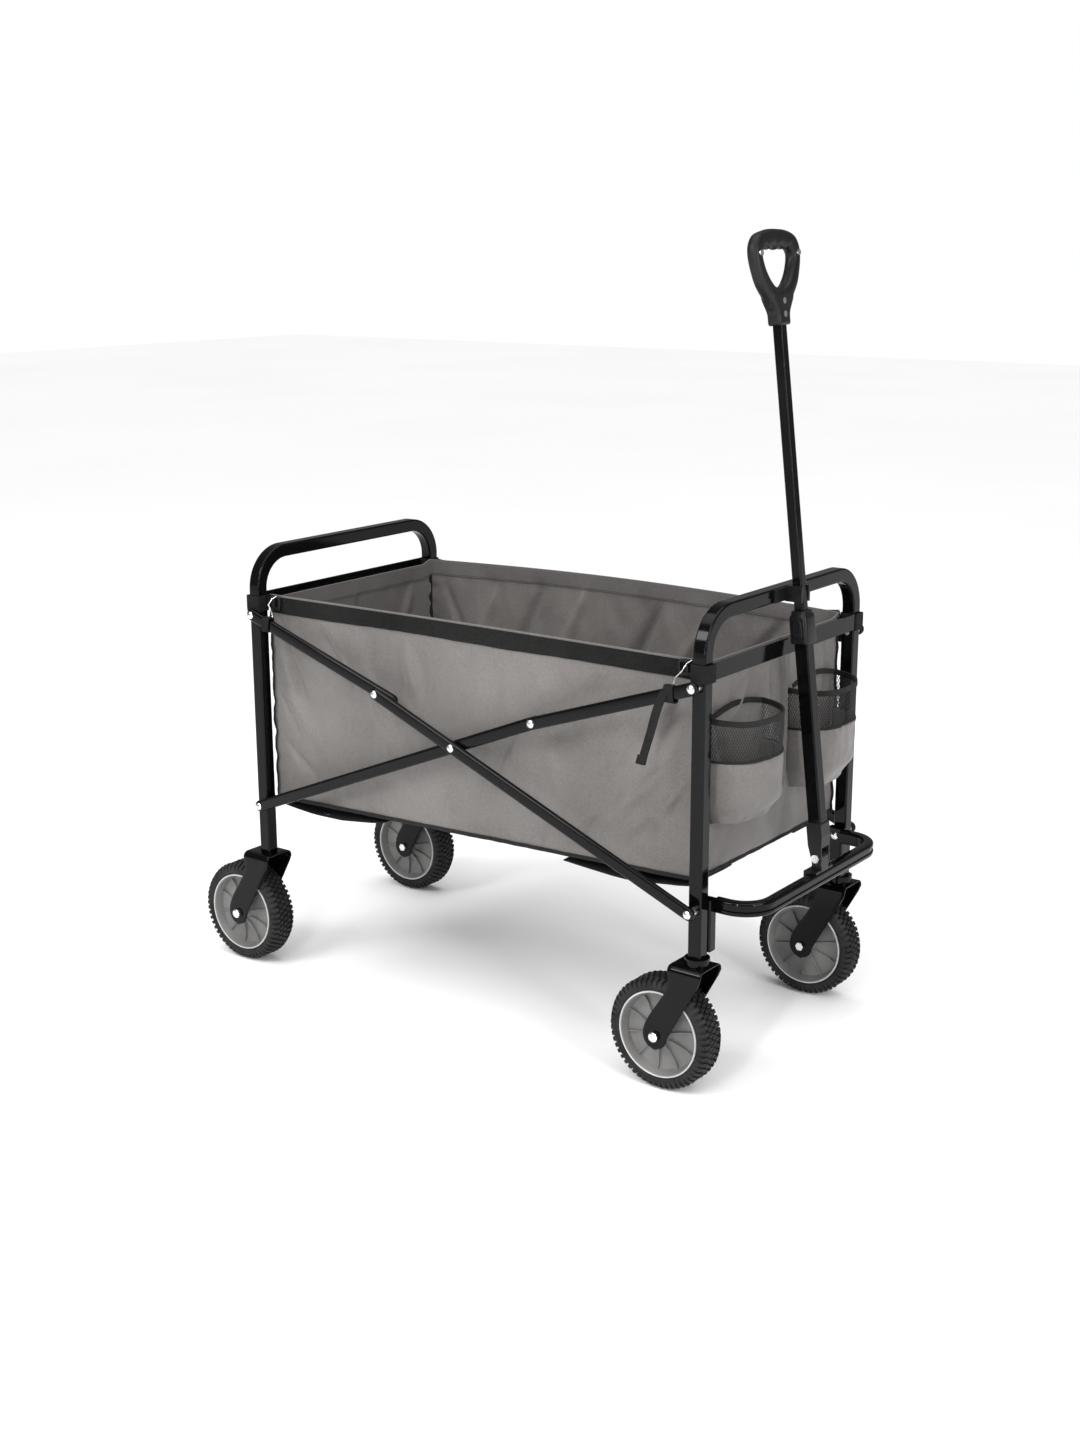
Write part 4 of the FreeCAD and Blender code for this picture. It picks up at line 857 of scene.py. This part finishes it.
def thin_rod(shape, a, b, radius):
    """A thread between two points, three-sided."""
    along = (b - a).normalized()
    side = along.orthogonal().normalized()
    other = along.cross(side)
    rings = []
    for p in (a, b):
        rings.append([p + side * radius * cos(turn) + other * radius * sin(turn)
                      for turn in (0, THIRD_TURN, 2 * THIRD_TURN)])
    shape.put(*loft(rings, caps=False))


for word, side in SIDES:
    # net: two sets of slanting threads from the pouch's seam to the rim
    net = Shape()
    columns, rows = 52, 13
    for c in range(columns + 1):
        for r in range(rows):
            for lean in (-1, 1):
                t0, t1 = (c + (r % 2) * 0.5) / columns, (c + (r % 2) * 0.5 + 0.5 * lean) / columns
                if not (0 <= t0 <= 1 and 0 <= t1 <= 1):
                    continue
                za = SEAM_Z + (rim_height(t0) - SEAM_Z) * r / rows
                zb = SEAM_Z + (rim_height(t1) - SEAM_Z) * (r + 1) / rows
                thin_rod(net, pocket_point(side, t0, za), pocket_point(side, t1, zb), 0.00052)
    net.piece(f"{word}_pocket_net", [NET], "front_frame", slot="pocket_mesh", angle=80,
              stands_for=[f"{word}_cup_pocket"])
    # the black tape round the rim
    rim_path = [pocket_point(side, k / 40, rim_height(k / 40)) for k in range(41)]
    tape = sweep(rim_path, [(-0.0014, -0.0042), (0.0014, -0.0042), (0.0018, 0.0), (0.0014, 0.0042),
                            (-0.0014, 0.0042), (-0.0018, 0.0)])
    tape.piece(f"{word}_pocket_rim_tape", [BINDING], "front_frame", slot="pocket_mesh", angle=50)
    back_path = []
    for k in range(17):
        bow = sin(pi * k / 16)
        back_path.append(Vector((POCKET_FACE + 0.0015 + 0.002 * bow,
                                 side * 0.115 + POCKET_HALF * (1 - 2 * k / 16),
                                 POCKET_TOP - 0.006 + 0.012 * bow)))
    sweep(back_path, [(-0.0012, -0.004), (0.0012, -0.004), (0.0012, 0.004), (-0.0012, 0.004)]).piece(
        f"{word}_pocket_back_tape", [BINDING], "front_frame", slot="pocket_mesh", angle=50)
    # the pouch of cloth below, gathered along its seam
    rings = []
    levels = 26
    for r in range(levels + 1):
        z = POCKET_LOW + (SEAM_Z - POCKET_LOW) * r / levels
        ring = []
        for k in range(57):
            t = k / 56
            p = pocket_point(side, t, z)
            gather = exp(-(SEAM_Z - z) / 0.013) * 0.0016 * sin(k * 1.9 + 0.7 * sin(k * 0.7))
            crease = 0.0032 * rough_at(t * 5.5, z * 16, 31 + side)
            away = Vector((sin(pi * t), 0.6 * cos(pi * t), 0))
            ring.append(p + away * (gather + crease) * sin(pi * t) ** 0.4)
        rings.append(ring)
    floor_rings = []
    for r in range(1, 7):
        f = r / 6
        floor_rings.append([p.lerp(Vector((POCKET_FACE + 0.001, p.y, POCKET_LOW - 0.003)), f)
                            for p in rings[0]])
    rings = floor_rings[::-1] + rings
    points, faces = loft(rings, closed_ring=False, caps=False)
    pouch = Shape().put(points, faces).piece(f"{word}_pocket_pouch", [CLOTH], "front_frame",
                                             slot="fabric_grey", angle=75)
    thicken = pouch.modifiers.new("Cloth", "SOLIDIFY")
    thicken.thickness = 0.0008
    seam_path = [pocket_point(side, k / 40, SEAM_Z, 0.0008) for k in range(41)]
    sweep(seam_path, [(-0.0008, -0.0016), (0.0008, -0.0016), (0.0008, 0.0016), (-0.0008, 0.0016)]).piece(
        f"{word}_pocket_seam", [BINDING], "front_frame", slot="pocket_mesh", angle=50)


# ---------------------------------------------------------------- under the basket
def floor_flap(name, x, y, sx, sy):
    """The black corner flap under the floor, with its metal eyelet."""
    rings = []
    for r in range(11):
        f = r / 10
        ring = []
        for k in range(15):
            g = k / 14
            px = x + sx * (0.008 + 0.235 * f)
            py = y + sy * (0.002 + (0.115 - 0.06 * f) * g)
            low = bottom_of(Vector((px, 0, 0)))
            drop = 0.011 * sin(pi * min(1, f * 0.95 + 0.02)) * (1 - 0.5 * g) + 0.0035
            wave = 0.0018 * rough_at(px * 20, py * 20, 4)
            ring.append(Vector((px, py, low - drop - 0.0035 + wave)))
        rings.append(ring)
    flap = Shape().put(*loft(rings, closed_ring=False, caps=False)).piece(name, [FLOOR_CLOTH], "rear_frame",
                                                                          slot="fabric_grey", angle=75)
    thick = flap.modifiers.new("Cloth", "SOLIDIFY")
    thick.thickness = 0.0012
    crumples(flap)
    ex, ey = x + sx * 0.105, y + sy * 0.022
    ez = bottom_of(Vector((ex, 0, 0))) - 0.0175
    ring = lathe([(0.0072, -0.0012), (0.0120, -0.0014), (0.0130, 0.0), (0.0120, 0.0012), (0.0072, 0.0012)],
                 36)
    place = Matrix.Translation((ex, ey, ez)) @ Matrix.Rotation(radians(90), 4, "X")
    made = Shape().merge(ring, place).piece(name + "_eyelet", [ZINC], "rear_frame", slot="zinc", angle=50)
    crumples(made)
    return flap


for word, side in SIDES:
    floor_flap(f"{word}_rear_floor_flap", WALL_REAR, side * WALL_SIDE, 1, -side)
    floor_flap(f"{word}_front_floor_flap", WALL_FRONT, side * WALL_SIDE, -1, -side)


def floor_board():
    """The stiff folding mat inside the basket: four quilted panels in cloth."""
    board = Shape()
    count = 4
    gap = 0.006
    length = (SPAN_X - 0.022 - gap * (count - 1)) / count
    half = WALL_SIDE - 0.011
    for n in range(count):
        x0 = WALL_REAR + 0.011 + n * (length + gap)
        rings = []
        for a in range(17):
            f = a / 16
            ring = []
            for b in range(25):
                g = b / 24
                px, py = x0 + length * f, -half + 2 * half * g
                edge = min(f, 1 - f) * length
                side_edge = min(g, 1 - g) * 2 * half
                puff = 0.0042 * (1 - exp(-edge / 0.006)) * (1 - exp(-side_edge / 0.006))
                low = bottom_of(Vector((px, 0, 0)))
                uneven = 0.0006 * rough_at(px * 30, py * 30, 2)
                ring.append(Vector((px, py, low + 0.0022 + puff + uneven)))
            rings.append(ring)
        board.put(*loft(rings, closed_ring=False, caps=False))
    made = board.piece("floor_mat", [FLOOR_CLOTH], "rear_frame", slot="fabric_grey", angle=70)
    return crumples(made)


floor_board()
crumples(basket)
BASKET_EXTRAS.remove(basket)


# ---------------------------------------------------------------- bumper
def groove_profile(deep, high):
    """A rounded tube section with a shallow channel along its outer face, as (across, up)."""
    r = 0.0042
    points = []
    for cx, cz, start in ((deep / 2 - r, high / 2 - r, 0), (-deep / 2 + r, high / 2 - r, 90),
                          (-deep / 2 + r, -high / 2 + r, 180), (deep / 2 - r, -high / 2 + r, 270)):
        for k in range(6):
            a = radians(start + 90 * k / 5)
            points.append((cx + r * cos(a), cz + r * sin(a)))
    channel = ((0.0, -0.0042), (0.0010, -0.0036), (0.0024, -0.0028), (0.0026, 0.0), (0.0024, 0.0028),
               (0.0010, 0.0036), (0.0, 0.0042))
    return points + [(deep / 2 - sink, z) for sink, z in channel]


BUMPER_FRONT = MIDDLE + 0.529 - 0.009
BUMPER_BACK = FRONT + 0.014
BUMPER_Y = 0.196
BUMPER_Z = 0.2966
BEND = 0.046
path = [Vector((BUMPER_BACK + (BUMPER_FRONT - BEND - BUMPER_BACK) * k / 3, -BUMPER_Y, BUMPER_Z))
        for k in range(3)]
for k in range(13):
    a = radians(-90 + 90 * k / 12)
    path.append(Vector((BUMPER_FRONT - BEND + BEND * cos(a), -BUMPER_Y + BEND + BEND * sin(a),
                        BUMPER_Z)))
path += [Vector((p.x, -p.y, p.z)) for p in reversed(path)]
sweep(path, groove_profile(0.018, 0.022)).piece("bumper_bow", [PAINT], "front_frame", stands_for=["bumper"],
                                                slot="frame_black", angle=50)


# ---------------------------------------------------------------- forks
FORK_GAP, FORK_PLATE = 0.056, 0.0025


def fork_shape():
    """A fork pressed from plate: a crown with rolled edges and two cheeks that taper to round ends."""
    gap, plate, top = FORK_GAP, FORK_PLATE, 0.208
    half = gap / 2 + plate / 2
    shape = Shape()
    across = []
    bend = 0.009
    round_end, crown = 0.021, top - 0.020
    depth = top - WHEEL_RADIUS + round_end
    drops = [depth * (1 - k / 26) for k in range(26)] + [bend]
    for d in drops:
        across.append((-half, top - plate / 2 - max(d, bend)))
    for k in range(1, 7):
        a = radians(180 - 90 * k / 6)
        across.append((-half + bend + bend * cos(a), top - plate / 2 - bend + bend * sin(a)))
    across += [(-half + bend + (2 * half - 2 * bend) * k / 6, top - plate / 2) for k in range(1, 6)]
    across += [(-y, z) for y, z in reversed(across[:33])]

    def reach(z):
        """The cheek's rear and front edges at a height."""
        if z > crown:
            lip = smoothstep(crown, crown + 0.008, z)
            return -0.031 - 0.003 * lip, round_end + 0.003 * lip
        if z >= WHEEL_RADIUS:
            t = (z - WHEEL_RADIUS) / (crown - WHEEL_RADIUS)
            ease = t * t * (3 - 2 * t)
            return (-TRAIL - round_end + (TRAIL + round_end - 0.031) * ease, -TRAIL + round_end + TRAIL * t)
        drop = (WHEEL_RADIUS - z) / round_end
        w = round_end * sqrt(max(0.0, 1 - min(1.0, drop) ** 2))
        return -TRAIL - w, -TRAIL + w

    rows = []
    for y, z in across:
        x0, x1 = reach(z)
        rows.append([Vector((x0 + (x1 - x0) * k / 8, y, z)) for k in range(9)])
    points, faces = loft(rows, closed_ring=False, caps=False)
    shape.put(points, faces)
    return shape


def plate_piece(name, shape, place, body, nodes):
    made = Shape().merge(shape, place).piece(name, [PAINT], body, stands_for=nodes, slot="frame_black",
                                             angle=60)
    solid = made.modifiers.new("Plate", "SOLIDIFY")
    solid.thickness = FORK_PLATE
    solid.offset = 0
    edge = made.modifiers.new("Edges", "BEVEL")
    edge.width = 0.0007
    edge.segments = 2
    edge.limit_method = "ANGLE"
    edge.angle_limit = radians(50)
    return made


FORK = fork_shape()
both = Shape()
for word, side in SIDES:
    both.merge(FORK, Matrix.Translation((REAR, side * LEG_Y, 0)))
    plate_piece(f"{word}_caster_plate", FORK, Matrix.Translation((FRONT, side * LEG_Y, 0)), f"{word}_caster",
                [f"{word}_caster_fork"])
plate_piece("rear_fork_plates", both, Matrix.Identity(4), "rear_frame", ["rear_forks"])


BOLT_FACE = lathe([(0.0024, 0.0), (0.0024, 0.0008), (0.0034, 0.0017), (0.0060, 0.0015), (0.0076, 0.0004),
                   (0.0078, 0.0)], 32)
BOLT_HEAD = 0.005
BOLT_OUT = FORK_GAP / 2 + FORK_PLATE + BOLT_HEAD
for word, side in SIDES:
    for end, x, body in (("rear", REAR, "rear_frame"), ("front", FRONT, f"{word}_caster")):
        place = (Matrix.Translation((x - TRAIL, side * (LEG_Y + BOLT_OUT), WHEEL_RADIUS))
                 @ Matrix.Scale(side, 4, (0, 1, 0)))
        Shape().merge(BOLT_FACE, place).piece(f"{end}_{word}_bolt_face", [ZINC], body, slot="zinc", angle=50)


# ---------------------------------------------------------------- handle
HANDLE_PIVOT = Vector((MIDDLE + 0.5198, 0, 0.330))
ON_HANDLE = Matrix.Translation(HANDLE_PIVOT) @ Matrix.Rotation(-radians(7), 4, "Y")
GRIP_LOW = 0.801


def closed_curve(points, steps):
    """Catmull-Rom points round a closed outline."""
    out = []
    n = len(points)
    for i in range(n):
        p0, p1, p2, p3 = (Vector((*points[(i + k) % n], 0)) for k in (-1, 0, 1, 2))
        for s in range(steps):
            t = s / steps
            q = 0.5 * ((2 * p1) + (p2 - p0) * t + (2 * p0 - 5 * p1 + 4 * p2 - p3) * t * t
                       + (3 * p1 - p0 - 3 * p2 + p3) * t * t * t)
            out.append((q.x, q.y))
    return out


def resample(outline, count):
    n = len(outline)
    lengths = [0.0]
    for i in range(n):
        a, b = outline[i], outline[(i + 1) % n]
        lengths.append(lengths[-1] + hypot(b[0] - a[0], b[1] - a[1]))
    made, k = [], 0
    for i in range(count):
        want = lengths[-1] * i / count
        while lengths[k + 1] < want:
            k += 1
        t = (want - lengths[k]) / max(1e-9, lengths[k + 1] - lengths[k])
        a, b = outline[k % n], outline[(k + 1) % n]
        made.append((a[0] + (b[0] - a[0]) * t, a[1] + (b[1] - a[1]) * t))
    return made


GRIP_HALF = [(0.0165, 0.000), (0.0175, 0.012), (0.0225, 0.024), (0.031, 0.036), (0.050, 0.057),
             (0.0605, 0.080), (0.0645, 0.100), (0.0615, 0.117), (0.050, 0.129), (0.026, 0.135)]
HOLE_HALF = [(0.010, 0.0545), (0.022, 0.0605), (0.034, 0.074), (0.0425, 0.090), (0.0435, 0.1005),
             (0.036, 0.1075)]


def grip_shape():
    """A closed D grip with round bars, a neck, and three finger waves under its top bar."""
    outer = closed_curve(GRIP_HALF + [(0.0, 0.1365)] + [(-y, z) for y, z in reversed(GRIP_HALF)], 8)
    top = []
    for k in range(9):
        y = 0.030 - 0.060 * k / 8
        top.append((y, 0.1085 - 0.0022 * cos(pi * 3 * (y / 0.030))))
    hole = closed_curve(HOLE_HALF + top + [(-y, z) for y, z in reversed(HOLE_HALF)] + [(0.0, 0.0525)], 6)
    count = 160

    def from_angle(outline, centre):
        """The outline sampled by angle round a centre, so that two outlines pair up."""
        fine = resample(outline, 1600)
        angles = [(atan2(z - centre[1], y - centre[0]) % (2 * pi), (y, z)) for y, z in fine]
        angles.sort()
        made = []
        k = 0
        for i in range(count):
            want = 2 * pi * i / count
            while k < len(angles) - 1 and angles[k][0] < want:
                k += 1
            made.append(angles[k][1])
        return made

    centre = (0.0, 0.084)
    inner_ring = from_angle(hole, centre)
    # the outside is taken above the neck's shoulder, so that angles meet it once
    upper = [(y, z) for y, z in resample(outer, 1600) if z > 0.0235 or abs(y) < 0.0001]
    outer_ring = from_angle(upper + [(0.0, 0.0235)], centre)
    shape = Shape()
    thick = 0.0120
    rings = []
    steps = 14
    for s in range(steps):
        a = 2 * pi * s / steps
        ring = []
        for (oy, oz), (iy, iz) in zip(outer_ring, inner_ring):
            my, mz = (oy + iy) / 2, (oz + iz) / 2
            hy, hz = (oy - iy) / 2, (oz - iz) / 2
            c = copysign(abs(cos(a)) ** 0.75, cos(a))
            d = copysign(abs(sin(a)) ** 0.75, sin(a))
            low = max(0.0, min(1.0, (0.075 - mz) / 0.04))
            deep = thick * (0.86 + 0.14 * low)
            ring.append(Vector((deep * d, my + hy * c, mz + hz * c)))
        rings.append(ring)
    points, faces = loft(rings, closed_path=True)
    shape.put(points, faces)
    # neck
    neck = []
    for k in range(15):
        z = -0.0005 + 0.044 * k / 14
        half = 0.0165 + 0.0155 * smoothstep(0.012, 0.044, z)
        deep = 0.0118
        row = rounded_box_outline(2 * deep, 2 * half, 0.0058, 5)
        if k == 0:
            row = inward(row, 0.0016)
        neck.append([Vector((x, y, z)) for x, y in row])
    shape.put(*loft(neck))
    return shape


lifted = ON_HANDLE @ Matrix.Translation((0, 0, GRIP_LOW))
Shape().merge(grip_shape(), lifted).piece("grip", [GRIP], "handle_inner",
                                          stands_for=["grip_front_half", "grip_rear_half"],
                                          slot="plastic_black", angle=80)


def sleeve_shape():
    """The sliding sleeve: a rounded block that swells at its collar, with a lip at the top."""
    rings = []
    for z, grow, radius in ((0.3320, -0.0014, 0.0040), (0.3326, -0.0004, 0.0050), (0.3345, 0.0, 0.0056),
                            (0.3700, 0.0, 0.0060), (0.3745, -0.0006, 0.0060), (0.3760, -0.0022, 0.0056),
                            (0.3780, -0.0026, 0.0056), (0.3805, -0.0028, 0.0054), (0.3820, -0.0046, 0.0050)):
        row = rounded_box_outline(0.030 + 2 * grow, 0.033 + 2 * grow, radius, 6)
        rings.append([Vector((x, y, z)) for x, y in row])
    return Shape().put(*loft(rings))


BUTTON_Z = 0.355


def button_row(wide, high, y):
    """A rounded outline about the button's centre, on a plane across Y."""
    return [Vector((-0.001 + px, y, BUTTON_Z + pz))
            for px, pz in rounded_box_outline(wide, high, wide * 0.46, 7)]


def dish_ring():
    """The raised oval frame round the release button, on the sleeve's right face."""
    rows = [button_row(*row) for row in ((0.0172, 0.0302, -0.0160), (0.0168, 0.0298, -0.0174),
                                         (0.0146, 0.0276, -0.0178), (0.0138, 0.0268, -0.0166))]
    return Shape().put(*loft(rows, caps=False))


def button_shape():
    """The thumb button, with grip ribs across it."""
    shape = Shape()
    shape.put(*loft([button_row(*row) for row in ((0.0128, 0.0258, -0.0150), (0.0128, 0.0258, -0.0170),
                                                  (0.0116, 0.0246, -0.0178))]))
    for k in range(5):
        z = BUTTON_Z - 0.0068 + 0.0034 * k
        rib = rounded_box_outline(0.0080, 0.0014, 0.0006, 2)
        rows = [[Vector((-0.001 + px, y, z + pz)) for px, pz in rib] for y in (-0.0176, -0.0186)]
        shape.put(*loft(rows))
    return shape


sleeve = Shape().merge(sleeve_shape(), ON_HANDLE).merge(dish_ring(), ON_HANDLE)
sleeve.piece("sleeve", [SATIN], "handle", stands_for=["handle_sleeve"], slot="plastic_black", angle=45)
Shape().merge(button_shape(), ON_HANDLE).piece("thumb_button", [GRIP], "button",
                                               stands_for=["release_button"], slot="plastic_black", angle=45)

# ---------------------------------------------------------------- finish of the carried-over parts
for part in frame["record"]["subparts"]:
    node = NODES[part["node"]]
    finish = BY_SLOT[part["material_slot"]]
    node.data.materials.clear()
    node.data.materials.append(finish)

# ---------------------------------------------------------------- floor, light and camera
bpy.ops.mesh.primitive_plane_add(size=30, location=(0, 0, 0))
floor = bpy.context.object
floor.name = "studio_floor"
ground, tree, shader = node_tree("studio_floor")
tone = two_tone(tree, noise_of(tree, 0.6), (0.93, 0.93, 0.93), (0.95, 0.95, 0.95))
tree.links.new(tone, shader.inputs["Base Color"])
shader.inputs["Roughness"].default_value = 0.7
shader.inputs["Specular IOR Level"].default_value = 0.2
floor.data.materials.append(ground)
floor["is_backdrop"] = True

world = bpy.data.worlds.new("studio")
bpy.context.scene.world = world
world.use_nodes = True
sky = world.node_tree
plain = sky.nodes["Background"]
plain.inputs["Color"].default_value = (1.0, 1.0, 1.0, 1)
plain.inputs["Strength"].default_value = 0.24
backdrop = sky.nodes.new("ShaderNodeBackground")
backdrop.inputs["Color"].default_value = (1.0, 1.0, 1.0, 1)
backdrop.inputs["Strength"].default_value = 1.0
path_kind = sky.nodes.new("ShaderNodeLightPath")
either = sky.nodes.new("ShaderNodeMixShader")
sky.links.new(path_kind.outputs["Is Camera Ray"], either.inputs["Fac"])
sky.links.new(plain.outputs["Background"], either.inputs[1])
sky.links.new(backdrop.outputs["Background"], either.inputs[2])
sky.links.new(either.outputs["Shader"], sky.nodes["World Output"].inputs["Surface"])
bpy.context.scene.view_settings.view_transform = "Standard"


def softbox(name, place, target, wide, high, power):
    lamp = bpy.data.lights.new(name, "AREA")
    lamp.shape = "RECTANGLE"
    lamp.size, lamp.size_y = wide, high
    lamp.energy = power
    made = bpy.data.objects.new(name, lamp)
    made.location = place
    made.rotation_euler = (Vector(target) - Vector(place)).to_track_quat("-Z", "Y").to_euler()
    bpy.context.scene.collection.objects.link(made)


overhead = bpy.data.lights.new("overhead", "SUN")
overhead.energy = 2.6
overhead.angle = radians(75)
ceiling = bpy.data.objects.new("overhead", overhead)
ceiling.rotation_euler = (radians(6), radians(4), 0)
bpy.context.scene.collection.objects.link(ceiling)
softbox("key", (-0.9, -2.7, 2.6), (0, 0, 0.45), 1.5, 1.1, 66)
softbox("front_fill", (3.0, -0.5, 1.5), (0.2, 0, 0.5), 0.9, 1.5, 26)
softbox("near_strip", (0.9, -2.6, 1.5), (0, 0, 0.5), 0.10, 2.4, 34)
softbox("front_strip", (2.9, -1.3, 1.5), (0.3, 0, 0.5), 0.10, 2.2, 30)

azimuth, elevation, roll = radians(36.701), radians(14.671), radians(-0.22)
back = Vector((sin(azimuth) * cos(elevation), -cos(azimuth) * cos(elevation),
               sin(elevation)))
right = Vector((cos(azimuth), sin(azimuth), 0))
lift = back.cross(right)
right, lift = (cos(roll) * right + sin(roll) * lift,
               -sin(roll) * right + cos(roll) * lift)
eye = bpy.data.cameras.new("camera")
eye.lens = 46.53
eye.sensor_width = 36
camera = bpy.data.objects.new("camera", eye)
camera.matrix_world = Matrix(((right.x, lift.x, back.x, 1.808521), (right.y, lift.y, back.y, -2.409281),
                              (right.z, lift.z, back.z, 1.258372), (0, 0, 0, 1)))
bpy.context.scene.collection.objects.link(camera)
bpy.context.scene.camera = camera

low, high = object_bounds()
